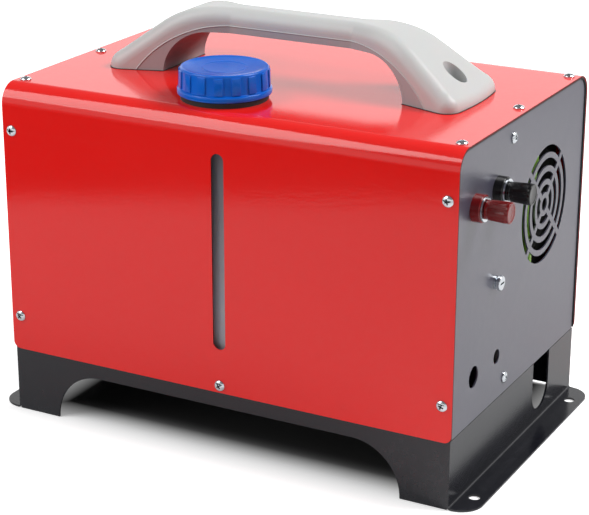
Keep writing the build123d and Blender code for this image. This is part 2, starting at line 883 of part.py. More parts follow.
def handle_pieces():
    """The upper and lower mouldings of the handle, with the bore down to each screw."""
    inner = front_extrusion(handle_seam())
    body = handle_body()
    upper = body - inner
    lower = body & inner
    lower -= handle_gap()
    upper -= handle_gap()
    for side in (-1, 1):
        x = side * handle_hole_x
        bore = rod((x, 0, cover_top + handle_floor), (0, 0, 1), handle_hole_radius, handle_top)
        hole = drill((x, 0, cover_top), (0, 0, 1), handle_screw_radius + screw_hole_clearance, handle_floor)
        upper -= bore + hole
        lower -= bore + hole
    return upper, lower


# ---- Fuel tank and filler ----
def fuel_tank():
    """A blow moulded tank with its filler neck, hollow right up into the neck."""
    outer = block(tank_left, tank_right, tank_front, tank_back, tank_bottom, tank_top)
    outer = fillet(outer.edges(), tank_corner)
    inner = block(tank_left + tank_wall, tank_right - tank_wall, tank_front + tank_wall,
                  tank_back - tank_wall, tank_bottom + tank_wall, tank_top - tank_wall)
    inner = fillet(inner.edges(), tank_corner - tank_wall)
    roof = tank_top - tank_wall
    tank = outer + rod((cap_x, cap_y, roof), (0, 0, 1), neck_radius, neck_top - roof)
    tank -= inner
    tank -= drill((cap_x, cap_y, roof), (0, 0, 1), neck_radius - neck_wall, neck_top - roof)
    return tank - drill((outlet_x, tank_back - tank_wall, line_z), (0, 1, 0),
                        outlet_stem_radius + rubber_clearance, tank_wall)


def tank_pads():
    """Two rubber strips that the tank stands on."""
    return group([block(side * pad_x - pad_length / 2, side * pad_x + pad_length / 2,
                        tank_front + tank_corner, tank_back - tank_corner, base_height, tank_bottom)
                  for side in (-1, 1)])


def filler_grommet():
    """The rubber ring between the filler neck and the edge of the cover's hole."""
    bore = neck_radius + 2 * rubber_clearance
    groove = neck_radius + grommet_grip - rubber_clearance
    ring = tube((cap_x, cap_y, cover_top), (0, 0, 1), grommet_radius, bore, grommet_height)
    ring = fillet(ring.edges().group_by(Axis.Z)[-1].sort_by(SortBy.RADIUS)[-1], grommet_edge)
    start = inner_top - grommet_under
    ring += tube((cap_x, cap_y, start), (0, 0, 1), groove, bore, cover_top - start)
    return ring + tube((cap_x, cap_y, start), (0, 0, 1), groove + grommet_lip, bore, grommet_under)


def fuel_cap():
    """The screw cap: a ribbed cup with a skirt round its foot."""
    foot = rod((cap_x, cap_y, cap_bottom), (0, 0, 1), cap_radius, cap_skirt)
    foot = fillet(foot.edges().group_by(Axis.Z)[-1], cap_skirt_edge)
    cone = Pos(cap_x, cap_y, cap_bottom) * Cone(
        cap_foot_radius, cap_top_radius, cap_height, align=(Align.CENTER, Align.CENTER, Align.MIN))
    cone = fillet(cone.edges().group_by(Axis.Z)[-1], cap_edge)
    cap = foot + cone
    for number in range(cap_ribs):
        rib = block(neck_radius + cap_thread_clearance + cut_margin, cap_top_radius + cap_rib_proud,
                    -cap_rib_width / 2, cap_rib_width / 2, cap_bottom + cap_skirt / 2,
                    cap_top - cap_rib_drop)
        cap += Pos(cap_x, cap_y, 0) * Rot(0, 0, 360.0 / cap_ribs * number) * rib
    bore = neck_radius + cap_thread_clearance
    start = cap_bottom - cut_margin
    return cap - rod((cap_x, cap_y, start), (0, 0, 1), bore, cap_top - cap_roof - start)


def cap_seal():
    """The disc of rubber inside the cap that closes the neck."""
    bore = neck_radius - cap_seal_width
    return tube((cap_x, cap_y, seal_bottom), (0, 0, 1), neck_radius, bore, cap_seal_thickness)


# ---- Posts and earth bolt ----
def post_base(y, z):
    """The insulating collar of a post, with the plate behind the panel that carries it."""
    bore = post_stud_radius + hub_clearance
    collar = tube((panel_face, y, z), (1, 0, 0), post_collar_radius, bore, post_collar_length)
    collar = fillet(collar.edges().group_by(Axis.X)[-1].sort_by(SortBy.RADIUS)[-1], post_edge)
    backing = tube((panel_back, y, z), (-1, 0, 0), post_collar_radius, bore, post_backing)
    sleeve = tube((panel_back - post_backing, y, z), (1, 0, 0), post_stud_radius + sleeve_wall, bore,
                  cover_sheet + post_backing + post_collar_length / 2)
    return collar + backing + sleeve


def post_studs():
    """The threaded studs of the two posts."""
    start = panel_back - post_stud_inner
    length = knob_face + post_knob_length - 2 * knob_roof - start
    return group([rod((start, y, z), (1, 0, 0), post_stud_radius, length)
                  for y, z in post_places])


def post_washer(y, z):
    """The plated washer that the knob presses on."""
    bore = post_stud_radius + shaft_run
    return tube((collar_face + post_gap, y, z), (1, 0, 0), post_washer_radius, bore,
                post_washer_thickness)


def post_knob(y, z):
    """The fluted knob that screws along the stud."""
    bore = post_stud_radius + shaft_run
    knob = rod((knob_face, y, z), (1, 0, 0), post_knob_radius, post_knob_length)
    knob = fillet(knob.edges().group_by(Axis.X)[-1], post_edge)
    start = knob_face + knob_flute_margin
    for number in range(knob_flutes):
        turn = radians(360.0 / knob_flutes * number)
        centre = (start, y + post_knob_radius * cos(turn), z + post_knob_radius * sin(turn))
        knob -= rod(centre, (1, 0, 0), knob_flute_radius, post_knob_length - 2 * knob_flute_margin)
    return knob - rod((knob_face, y, z), (1, 0, 0), bore, post_knob_length - knob_roof)


def earth_bolt():
    """The bolt that earths the case."""
    head_start = panel_face + earth_stack
    inner = panel_back - nut_height - earth_tail
    bolt = rod((inner, earth_y, earth_z), (1, 0, 0), screw_shank_radius, head_start - inner)
    head = rod((head_start, earth_y, earth_z), (1, 0, 0), earth_head_radius, earth_head_height)
    head = fillet(head.edges().group_by(Axis.X)[-1], earth_head_edge)
    face = head_start + earth_head_height
    head -= block(face - earth_slot_depth, face + cut_margin, earth_y - earth_slot_reach,
                  earth_y + earth_slot_reach, earth_z - earth_slot_width / 2, earth_z + earth_slot_width / 2)
    return bolt + head


def earth_washers():
    """The washers under the bolt's head, and the washer and nut inside the panel."""
    bore = screw_shank_radius + hub_clearance
    flat = tube((panel_face, earth_y, earth_z), (1, 0, 0), earth_washer_radius, bore, earth_flat)
    spacer_start = panel_face + earth_flat
    lock = tube((spacer_start, earth_y, earth_z), (1, 0, 0), earth_spacer_radius, bore, earth_spacer)
    clip = tube((spacer_start + earth_spacer, earth_y, earth_z), (1, 0, 0), earth_washer_radius, bore,
                earth_clip)
    nut = ring_nut((panel_back, earth_y, earth_z), (-1, 0, 0), nut_width, bore, nut_height)
    return group([flat, lock, clip, nut])


# ---- Fuel line ----
def tank_outlet():
    """The outlet of the tank, which goes through the partition and ends in a nipple."""
    along = (0, 1, 0)
    inside = tank_back - tank_wall
    outlet = rod((outlet_x, tank_back, line_z), along, outlet_flange_radius, outlet_flange)
    outlet += rod((outlet_x, tank_back, line_z), along, outlet_radius, outlet_end - tank_back)
    outlet += rod((outlet_x, inside, line_z), along, outlet_stem_radius, outlet_end - inside)
    outlet += rod((outlet_x, outlet_end, line_z), along, hose_bore - nipple_clearance, nipple_length)
    return outlet - drill((outlet_x, inside, line_z), along, outlet_bore,
                          outlet_end + nipple_length - inside)


def hose_profile():
    """The section of the fuel hose."""
    return Circle(hose_radius) - Circle(hose_bore)


def suction_hose():
    """The hose from the tank outlet round to the filter."""
    start = outlet_end + hose_end_gap
    end = filter_left - hose_end_gap
    points = [(outlet_x, start, line_z), (outlet_x, line_y, line_z), (end, line_y, line_z)]
    shortest = min(line_y - start, end - outlet_x)
    return swept(FilletPolyline(points, radius=hose_bend_share * shortest), hose_profile(), "suction_hose")


def fuel_filter():
    """The inline filter, with a nipple at each end."""
    body = rod((filter_left, line_y, line_z), (1, 0, 0), filter_radius, filter_length)
    body = fillet(body.edges(), filter_edge)
    return body + rod((filter_left - nipple_length, line_y, line_z), (1, 0, 0),
                      hose_bore - nipple_clearance, filter_length + 2 * nipple_length)


def filter_hose():
    """The short straight hose from the filter to the pump."""
    start = filter_right + hose_end_gap
    return tube((start, line_y, line_z), (1, 0, 0), hose_radius, hose_bore,
                pump_left - hose_end_gap - start)


def fuel_pump():
    """The body of the dosing pump, with the cylinder that its plunger runs in."""
    pump = rod((pump_left, line_y, line_z), (1, 0, 0), pump_radius, pump_length)
    pump = chamfer(pump.edges(), pump_chamfer)
    pump += rod((pump_left - nipple_length, line_y, line_z), (1, 0, 0), hose_bore - nipple_clearance,
                pump_length + 2 * nipple_length)
    bore = plunger_length + plunger_stroke + 2 * plunger_gap
    return pump - rod((pump_left + pump_wall, line_y, line_z), (1, 0, 0), plunger_radius, bore)


def pump_plunger():
    """The plunger that the pump's coil draws along to deliver each dose."""
    start = pump_left + pump_wall + plunger_gap
    radius = plunger_radius - plunger_run
    return rod((start, line_y, line_z), (1, 0, 0), radius, plunger_length)


def pump_clamp():
    """The band round the pump, with its foot on the deck."""
    left = clamp_x - band_width / 2
    right = clamp_x + band_width / 2
    bore = pump_radius + rubber_clearance
    clamp = tube((left, line_y, line_z), (1, 0, 0), bore + band_wall, bore, band_width)
    clamp += block(left, right, line_y - leg_half_width, line_y + leg_half_width, base_height,
                   line_z - bore - band_wall / 2)
    reach = clamp_screw_reach + stand_screw_head_radius
    clamp += block(clamp_x - reach, clamp_x + reach, line_y - band_foot_half_width,
                   line_y + band_foot_half_width, base_height, base_height + base_sheet)
    for offset in clamp_screw_offsets:
        radius = stand_screw_radius + screw_hole_clearance
        clamp -= drill((clamp_x + offset, line_y, base_height), (0, 0, 1), radius, base_sheet)
    return clamp


def heater_hose():
    """The hose from the pump up behind the left of the grille and over to the heater."""
    start = pump_right + hose_end_gap
    end = fitting_x + fitting_radius + 3 * hose_end_gap
    rise = [(hose_rise_x, heater_y + across, heater_z + above) for across, above in hose_bow]
    points = [(start, line_y, line_z), (hose_rise_x, line_y, line_z), *rise,
              (hose_rise_x, rise[-1][1], hose_top_z), (end + hose_lead_in, line_y, hose_top_z),
              (end, line_y, hose_top_z)]
    bends = [hose_bow_bend] * len(rise)
    radii = [hose_bend_share * (hose_rise_x - start), *bends, hose_top_bend, hose_bow_bend]
    path = FilletPolyline(points, radius=radii)
    return swept(path, hose_profile(), "heater_hose")


# ---- Heater unit ----
def casing_block(inset, x0, x1):
    """A bar with the rounded section of the heater unit."""
    half_y = heater_half_y - inset
    half_z = heater_half_z - inset
    bar = block(x0, x1, heater_y - half_y, heater_y + half_y, heater_z - half_z, heater_z + half_z)
    return fillet(bar.edges().filter_by(Axis.X), heater_corner - inset)


def heater_casing():
    """The casing of the heater unit before it is divided, with the holes it needs."""
    casing = casing_block(0, heater_left, heater_right)
    casing -= casing_block(heater_wall, heater_left - cut_margin, heater_right + cut_margin)
    bottom = heater_z - heater_half_z
    for x in (exhaust_x, intake_x):
        casing -= drill((x, heater_y, bottom), (0, 0, 1), spigot_radius + casing_gap, heater_wall)
    for x, y, z in heater_bolt_places():
        radius = stand_screw_radius + screw_hole_clearance
        casing -= drill((x, y, bottom), (0, 0, 1), radius, heater_wall)
    return casing - drill((fitting_x, line_y, fitting_seat), (0, 0, 1), fitting_radius + casing_gap,
                          hose_top_z - fitting_seat)


def heater_upper_casing():
    """The upper half of the heater casing."""
    return heater_casing() & block(-half_width, half_width, -half_depth, half_depth, heater_z, cover_top)


def heater_lower_casing():
    """The lower half of the heater casing."""
    return heater_casing() & block(-half_width, half_width, -half_depth, half_depth, 0, heater_z)


def inlet_ring():
    """The ring at the cold end that guides air into the fan."""
    ring = casing_block(0, heater_right, heater_right + inlet_ring_length)
    return ring - drill((heater_right, heater_y, heater_z), (1, 0, 0), inlet_ring_radius,
                        inlet_ring_length)


def outlet_hood():
    """The hood at the hot end, with the collar that a duct slides over."""
    hood = casing_block(0, heater_left - hood_plate, heater_left)
    end = -panel_face - duct_proud
    step = -panel_face - duct_step_proud
    start = (heater_left, heater_y, heater_z)
    outward = (-1, 0, 0)
    hood += rod(start, outward, duct_radius + duct_step, heater_left - step)
    hood += rod(start, outward, duct_radius, heater_left - end)
    return hood - drill(start, outward, duct_radius - duct_wall, heater_left - end)


def heat_exchanger():
    """The finned body that takes heat from the flame, with its exhaust spigot."""
    length = exchanger_right - exchanger_left
    body = rod((exchanger_left, heater_y, heater_z), (1, 0, 0), exchanger_radius, length)
    for number in range(fin_count):
        turn = 360.0 / fin_count * (number + 0.5)
        fin = block(exchanger_left, exchanger_right, exchanger_radius - exchanger_wall / 2, fin_radius,
                    -fin_thickness / 2, fin_thickness / 2)
        body += Pos(0, heater_y, heater_z) * Rot(turn, 0, 0) * fin
    for side in (-1, 1):
        body += block(exchanger_left + rib_inset, exchanger_left + rib_inset + rib_length,
                      heater_y - rib_width / 2, heater_y + rib_width / 2,
                      heater_z + side * (exchanger_radius - exchanger_wall / 2),
                      heater_z + side * (heater_half_z - heater_wall))
    body += rod((exhaust_x, heater_y, spigot_end), (0, 0, 1), spigot_radius, heater_z - spigot_end)
    body -= rod((exchanger_left + exchanger_wall, heater_y, heater_z), (1, 0, 0),
                exchanger_radius - exchanger_wall, length)
    return body - drill((exhaust_x, heater_y, spigot_end), (0, 0, 1), spigot_radius - spigot_wall,
                        heater_z - spigot_end - exchanger_radius + exchanger_wall)


def burner_tube():
    """The tube that the flame burns in, held by its flange."""
    left = housing_left - burner_length
    burner = rod((left, heater_y, heater_z), (1, 0, 0), burner_radius, burner_length)
    burner += rod((exchanger_right, heater_y, heater_z), (1, 0, 0), housing_radius, burner_flange)
    return burner - rod((left + burner_wall, heater_y, heater_z), (1, 0, 0),
                        burner_radius - burner_wall, burner_length)


def burner_housing():
    """The cast housing of the burner and its air impeller, with the combustion air spigot."""
    body = rod((housing_left, heater_y, heater_z), (1, 0, 0), housing_radius, housing_length)
    body += block(fitting_x - boss_half_width, fitting_x + boss_half_width, line_y - boss_half_width,
                  line_y + boss_half_width, heater_z, fitting_seat)
    body += rod((plug_x, heater_y, heater_z), (0, 0, 1), plug_boss_radius, plug_seat_rise)
    body += rod((intake_x, heater_y, spigot_end), (0, 0, 1), spigot_radius, heater_z - spigot_end)
    body += block(housing_left, housing_right, heater_y - foot_half_width, heater_y + foot_half_width,
                  heater_z - heater_half_z + heater_wall, heater_z - impeller_chamber_radius)
    body -= rod((housing_right - impeller_chamber_depth, heater_y, heater_z), (1, 0, 0),
                impeller_chamber_radius, impeller_chamber_depth)
    body -= rod((housing_left, heater_y, heater_z), (1, 0, 0), burner_port_radius, housing_length)
    return body - drill((intake_x, heater_y, spigot_end), (0, 0, 1), spigot_radius - spigot_wall,
                        heater_z - spigot_end - burner_port_radius)


def glow_plug():
    """The plug that lights the flame."""
    seat = heater_z + plug_seat_rise
    return hexagon((plug_x, heater_y, seat), (0, 0, 1), plug_width, plug_height)


def fuel_inlet_fitting():
    """The elbow that takes fuel down into the burner housing."""
    post = rod((fitting_x, line_y, fitting_seat), (0, 0, 1), fitting_radius,
               hose_top_z + fitting_radius - fitting_seat)
    nipple = hose_bore - nipple_clearance
    reach = fitting_radius + nipple_length
    return post + rod((fitting_x, line_y, hose_top_z), (1, 0, 0), nipple, reach)


def blower_motor():
    """The motor, with the plate that closes the impeller chamber and four arms to the casing."""
    motor = rod((motor_left, heater_y, heater_z), (1, 0, 0), motor_radius, motor_length)
    motor = chamfer(motor.edges().group_by(Axis.X)[-1], motor_chamfer)
    motor += rod((housing_right, heater_y, heater_z), (1, 0, 0), housing_radius, motor_plate)
    arm_left = motor_right - 2 * motor_arm_length
    arm_right = motor_right - motor_arm_length
    arm_y = heater_half_y - heater_wall
    arm_z = heater_half_z - heater_wall
    half = motor_arm_width / 2
    motor += block(arm_left, arm_right, heater_y - arm_y, heater_y + arm_y, heater_z - half, heater_z + half)
    motor += block(arm_left, arm_right, heater_y - half, heater_y + half, heater_z - arm_z, heater_z + arm_z)
    return motor - drill((housing_right, heater_y, heater_z), (1, 0, 0), shaft_radius + shaft_run,
                         motor_plate + motor_length)


def motor_shaft():
    """The shaft that carries the blower fan and the impeller."""
    start = impeller_left - shaft_tail
    end = fan_left + fan_length + shaft_tail
    return rod((start, heater_y, heater_z), (1, 0, 0), shaft_radius, end - start)


def bladed_wheel(left, length, radius, hub, blades, thickness, pitch):
    """A wheel on the shaft with a hub and slanted blades."""
    wheel = rod((left, heater_y, heater_z), (1, 0, 0), hub, length)
    middle = left + length / 2
    root = hub / 2
    for number in range(blades):
        blade = Pos(0, 0, (root + radius) / 2) * Rot(0, 0, pitch) * Box(length, thickness, radius - root)
        wheel += Pos(middle, heater_y, heater_z) * Rot(360.0 / blades * number, 0, 0) * blade
    return wheel & rod((left, heater_y, heater_z), (1, 0, 0), radius, length)


def shaft_hole(left, length):
    """The hole of a wheel that is pressed on the shaft."""
    return drill((left, heater_y, heater_z), (1, 0, 0), shaft_radius + hub_clearance, length)


def blower_fan():
    """The fan that draws room air in through the grille."""
    wheel = bladed_wheel(fan_left, fan_length, fan_radius, fan_hub_radius, fan_blades, fan_blade, fan_pitch)
    return wheel - shaft_hole(fan_left, fan_length)


def combustion_impeller():
    """The small wheel that feeds air to the flame."""
    wheel = bladed_wheel(impeller_left, impeller_length, impeller_radius, impeller_hub_radius,
                         impeller_vanes, impeller_vane, 0.0)
    wheel += rod((impeller_left + impeller_length - impeller_disc, heater_y, heater_z), (1, 0, 0),
                 impeller_radius, impeller_disc)
    return wheel - shaft_hole(impeller_left, impeller_length)


# ---- Stand, pipes and controls ----
def heater_stand():
    """A bent bracket that carries the heater unit above the deck."""
    bottom = stand_top - base_sheet
    stand = block(stand_left, stand_right, stand_front, stand_back, bottom, stand_top)
    for x, outward in ((stand_left, -1), (stand_right, 1)):
        inner = x - outward * base_sheet
        stand += block(x, inner, stand_front, stand_back, base_height, stand_top)
        far = x + outward * stand_foot
        stand += block(inner, far, stand_front, stand_back, base_height,
                       base_height + base_sheet)
    for x in (exhaust_x, intake_x):
        stand -= drill((x, heater_y, bottom), (0, 0, 1), spigot_radius + stand_pipe_gap, base_sheet)
    radius = stand_screw_radius + screw_hole_clearance
    for x, y, z in stand_screw_places():
        stand -= drill((x, y, z), (0, 0, -1), radius, base_sheet)
    for place in heater_bolt_places():
        stand -= drill(place, (0, 0, 1), radius, base_sheet)
    return stand


def mount_gasket():
    """The gasket between the stand and the heater casing."""
    pad = block(stand_left + gasket_inset, stand_right - gasket_inset, stand_front, stand_back, stand_top,
                stand_top + gasket_thickness)
    for x in (exhaust_x, intake_x):
        pad -= drill((x, heater_y, stand_top), (0, 0, 1), spigot_radius + stand_pipe_gap, gasket_thickness)
    for x, y, z in heater_bolt_places():
        radius = stand_screw_radius + screw_hole_clearance
        pad -= drill((x, y, stand_top), (0, 0, 1), radius, gasket_thickness)
    return pad


def cheese_screw(point, direction, length):
    """A screw with a cylindrical head seated at a point."""
    screw = rod(point, direction, stand_screw_head_radius, stand_screw_head_height)
    return screw + rod(point, -Vector(direction), stand_screw_radius, length)


def stand_screws():
    """The identical screws of the stand, the pump clamp and the heater unit."""
    screws = [cheese_screw(place, (0, 0, 1), stand_screw_length) for place in stand_screw_places()]
    screws += [cheese_screw(place, (0, 0, -1), stand_screw_length) for place in heater_bolt_places()]
    return group(screws)


def lower_pipe(x):
    """A pipe that slips over a spigot of the heater, its end under the deck turned down for a hose."""
    bore = spigot_radius + pipe_clearance
    outside = bore + pipe_wall
    shoulder = pipe_end + pipe_hose_length
    pipe = tube((x, heater_y, shoulder), (0, 0, 1), outside, bore, pipe_top - shoulder)
    return pipe + tube((x, heater_y, pipe_end), (0, 0, 1), outside - pipe_step, bore, pipe_hose_length)


def pipe_clamps():
    """The bands that hold the two pipes on their spigots."""
    inner = spigot_radius + 2 * pipe_clearance + pipe_wall
    top = pipe_top - clamp_drop
    bands = []
    for x in (exhaust_x, intake_x):
        band = tube((x, heater_y, top), (0, 0, -1), inner + clamp_thickness, inner, clamp_width)
        start = heater_y + inner + clamp_thickness / 2
        ear = block(x - clamp_ear / 2, x + clamp_ear / 2, start, start + clamp_ear, top - clamp_width, top)
        bands.append(band + ear)
    return group(bands)


def control_unit():
    """The sealed box of electronics, with the socket for its leads."""
    box = block(control_left, control_left + control_length, control_front, control_front + control_width,
                base_height, base_height + control_height)
    box = fillet(box.edges().filter_by(Axis.Z), control_corner)
    socket = block(socket_end - socket_length, socket_end, black_lead_y - socket_edge,
                   red_lead_y + socket_edge, red_lead_z - socket_edge, black_lead_z + socket_edge)
    return box + socket


def supply_lead(post, end_y, height, name):
    """A lead from the inside of a post down to the deck and along to the control unit."""
    post_y, post_z = post
    top = post_z - lug_radius - lug_tongue
    points = [(lead_x, post_y, top), (lead_x, post_y, height), (lead_x, end_y, height),
              (socket_end, end_y, height)]
    path = FilletPolyline(points, radius=[lead_bend, lead_bend])
    lead = swept(path, Circle(lead_radius), name)
    front = lead_x - lug_thickness / 2
    eye = tube((front, post_y, post_z), (1, 0, 0), lug_radius, post_stud_radius + hub_clearance,
               lug_thickness)
    tongue = block(front, front + lug_thickness, post_y - lug_tongue_width / 2,
                   post_y + lug_tongue_width / 2, top, post_z - lug_radius + lug_thickness)
    return lead + eye + tongue


upper_moulding, lower_moulding = handle_pieces()

nodes = {
    "cover": cover(),
    "end_panel_right": end_panel_right(),
    "end_panel_left": end_panel_left(),
    "base_front_wall": base_front_wall(),
    "base_rear_wall": base_rear_wall(),
    "base_side_right": base_side_right(),
    "base_side_left": base_side_left(),
    "deck_plate": deck_plate(),
    "partition_plate": partition_plate(),
    "partition_grommets": partition_grommets(),
    "case_screws": case_screws(),
    "case_nuts": case_nuts(),
    "hex_nuts": hex_nuts(),
    "handle_upper": upper_moulding,
    "handle_lower": lower_moulding,
    "handle_screws": handle_screws(),
    "fuel_tank": fuel_tank(),
    "tank_pads": tank_pads(),
    "filler_grommet": filler_grommet(),
    "fuel_cap": fuel_cap(),
    "cap_seal": cap_seal(),
    "red_post_base": post_base(*red_post),
    "red_post_washer": post_washer(*red_post),
    "red_post_knob": post_knob(*red_post),
    "black_post_base": post_base(*black_post),
    "black_post_washer": post_washer(*black_post),
    "black_post_knob": post_knob(*black_post),
    "post_studs": post_studs(),
    "earth_bolt": earth_bolt(),
    "earth_washers": earth_washers(),
    "tank_outlet": tank_outlet(),
    "suction_hose": suction_hose(),
    "fuel_filter": fuel_filter(),
    "filter_hose": filter_hose(),
    "fuel_pump": fuel_pump(),
    "pump_plunger": pump_plunger(),
    "pump_clamp": pump_clamp(),
    "heater_hose": heater_hose(),
    "heater_upper_casing": heater_upper_casing(),
    "heater_lower_casing": heater_lower_casing(),
    "inlet_ring": inlet_ring(),
    "outlet_hood": outlet_hood(),
    "heat_exchanger": heat_exchanger(),
    "burner_tube": burner_tube(),
    "burner_housing": burner_housing(),
    "glow_plug": glow_plug(),
    "fuel_inlet_fitting": fuel_inlet_fitting(),
    "blower_motor": blower_motor(),
    "motor_shaft": motor_shaft(),
    "blower_fan": blower_fan(),
    "combustion_impeller": combustion_impeller(),
    "heater_stand": heater_stand(),
    "mount_gasket": mount_gasket(),
    "stand_screws": stand_screws(),
    "exhaust_pipe": lower_pipe(exhaust_x),
    "intake_pipe": lower_pipe(intake_x),
    "pipe_clamps": pipe_clamps(),
    "control_unit": control_unit(),
    "red_lead": supply_lead(red_post, red_lead_y, red_lead_z, "red_lead"),
    "black_lead": supply_lead(black_post, black_lead_y, black_lead_z, "black_lead"),
}

os.makedirs("parts", exist_ok=True)
for name, shape in nodes.items():
    export_step(shape, f"parts/{name}.step")
    print(f"{name}: {len(shape.solids())} solids")
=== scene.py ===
import json
import math
import bpy
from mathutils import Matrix, Quaternion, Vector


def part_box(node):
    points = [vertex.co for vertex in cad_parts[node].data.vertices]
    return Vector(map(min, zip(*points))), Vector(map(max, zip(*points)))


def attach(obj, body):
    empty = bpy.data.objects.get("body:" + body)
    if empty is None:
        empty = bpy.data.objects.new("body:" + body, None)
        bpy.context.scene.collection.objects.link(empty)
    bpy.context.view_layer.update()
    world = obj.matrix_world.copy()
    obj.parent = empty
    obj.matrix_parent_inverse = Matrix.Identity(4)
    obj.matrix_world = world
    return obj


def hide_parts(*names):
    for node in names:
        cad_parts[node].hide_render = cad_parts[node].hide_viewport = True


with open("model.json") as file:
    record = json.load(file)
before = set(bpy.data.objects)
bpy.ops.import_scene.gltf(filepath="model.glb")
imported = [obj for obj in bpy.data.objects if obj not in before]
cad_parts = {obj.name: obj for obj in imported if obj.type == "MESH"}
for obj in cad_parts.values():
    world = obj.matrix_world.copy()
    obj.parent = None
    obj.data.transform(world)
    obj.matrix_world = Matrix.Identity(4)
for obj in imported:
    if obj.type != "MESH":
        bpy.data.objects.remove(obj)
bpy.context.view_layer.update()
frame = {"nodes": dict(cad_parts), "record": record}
nodes = frame["nodes"]
scene = bpy.context.scene
print("frame loaded")


# helpers for shader nodes: a value may be a number, a colour or a socket
def fill(tree, socket, value):
    if isinstance(value, (int, float, tuple)):
        socket.default_value = value
    else:
        tree.links.new(value, socket)


def reckoned(tree, operation, *values, clamp=False):
    node = tree.nodes.new("ShaderNodeMath")
    node.operation = operation
    node.use_clamp = clamp
    for socket, value in zip(node.inputs, values):
        fill(tree, socket, value)
    return node.outputs[0]


def ranged(tree, value, before=(0.0, 1.0), after=(0.0, 1.0), smooth=False):
    node = tree.nodes.new("ShaderNodeMapRange")
    if smooth:
        node.interpolation_type = "SMOOTHSTEP"
    fill(tree, node.inputs["Value"], value)
    for label, end in zip(("From Min", "From Max", "To Min", "To Max"), before + after):
        fill(tree, node.inputs[label], end)
    return node.outputs["Result"]


def noised(tree, point, scale, detail=2.0):
    node = tree.nodes.new("ShaderNodeTexNoise")
    fill(tree, node.inputs["Vector"], point)
    fill(tree, node.inputs["Scale"], scale)
    fill(tree, node.inputs["Detail"], detail)
    return node.outputs["Fac"]


def mixColours(tree, factor, first, second):
    node = tree.nodes.new("ShaderNodeMix")
    node.data_type = "RGBA"
    fill(tree, node.inputs["Factor"], factor)
    for label, value in (("A", first), ("B", second)):
        if isinstance(value, tuple):
            value = value + (1,)
        fill(tree, node.inputs[label], value)
    return node.outputs["Result"]


def alongAxis(tree, vector, axis):
    node = tree.nodes.new("ShaderNodeSeparateXYZ")
    fill(tree, node.inputs[0], vector)
    return node.outputs[axis]


def objectPoint(tree):
    return tree.nodes.new("ShaderNodeTexCoord").outputs["Object"]


def shapeOf(tree, label):
    return tree.nodes.new("ShaderNodeNewGeometry").outputs[label]


def startMaterial(name):
    material = bpy.data.materials.new(name)
    material.use_nodes = True
    return material, material.node_tree, material.node_tree.nodes["Principled BSDF"]


# camera, lamps and floor
cameraSettings = {
    "place": (0.66530, -1.24842, 0.63429), "aim": (0.04, -0.0828, 0.157), "roll": 0.08,
    "lens": 115.34, "sensorWidth": 36, "shift": (0.0023, -0.0040), "nearest": 0.05,
}
lampSettings = [
    # name, place, aim, width, height, watts
    ("frontSoft", (-0.86, -0.96, 1.30), (0.05, -0.10, 0.22), 0.95, 1.2, 16.5),
    ("backCard", (-0.95, 1.80, 0.66), (0.0, 0.0, 0.30), 2.6, 0.9, 2.4),
    ("topSoft", (0.95, 0.50, 1.40), (0.0, 0.0, 0.2), 0.8, 0.8, 24),
]
skySettings = {
    "light": 0.22,                             # strength for the object; what is seen has 1
    "ceiling": (0.22, 0.22, 0.22), "ceilingBand": (0.36, 0.46),
}
floorSettings = {
    "size": 12, "height": -0.0004, "roughness": 0.75, "gloss": 0.15,
    "colours": ((0.91, 0.91, 0.915), (0.93, 0.93, 0.93)), "speckleScale": 3,
    "footprint": (0.190, 0.1235),              # half sizes of the part that the base covers
    "rearReach": (0.0, 0.05), "rearSteepness": (1.0, 6.0),
    # the dark colour under the base is painted shadow
    "underShadeColour": (0.06, 0.06, 0.06), "underShadeBand": (-0.004, 0.045),
    "clearBand": (0.03, -0.02),
    "liftReach": (0.5, 2.5), "lift": (0.62, 0.78),
}
flagSettings = {
    "place": (-0.30, -0.68, 0.09), "aim": (0, -0.1, 0.09), "width": 2.2, "height": 0.18,
    "colour": (0.02, 0.02, 0.02), "roughness": 0.95,
}


def turnTowards(place, aim, roll=0.0):
    way = Vector(aim) - Vector(place)
    turn = way.to_track_quat("-Z", "Y")
    return turn @ Quaternion((0, 0, 1), math.radians(roll))


def addCamera():
    s = cameraSettings
    cameraData = bpy.data.cameras.new("photoCamera")
    cameraData.lens = s["lens"]
    cameraData.sensor_width = s["sensorWidth"]
    cameraData.shift_x, cameraData.shift_y = s["shift"]
    cameraData.clip_start = s["nearest"]
    camera = bpy.data.objects.new("photoCamera", cameraData)
    scene.collection.objects.link(camera)
    camera.location = s["place"]
    camera.rotation_mode = "QUATERNION"
    camera.rotation_quaternion = turnTowards(s["place"], s["aim"], s["roll"])
    scene.camera = camera


def addLamps():
    for name, place, aim, width, height, watts in lampSettings:
        data = bpy.data.lights.new(name, "AREA")
        data.shape = "RECTANGLE"
        data.size = width
        data.size_y = height
        data.energy = watts
        lamp = bpy.data.objects.new(name, data)
        scene.collection.objects.link(lamp)
        lamp.location = place
        lamp.rotation_mode = "QUATERNION"
        lamp.rotation_quaternion = turnTowards(place, aim)
        lamp.visible_camera = False


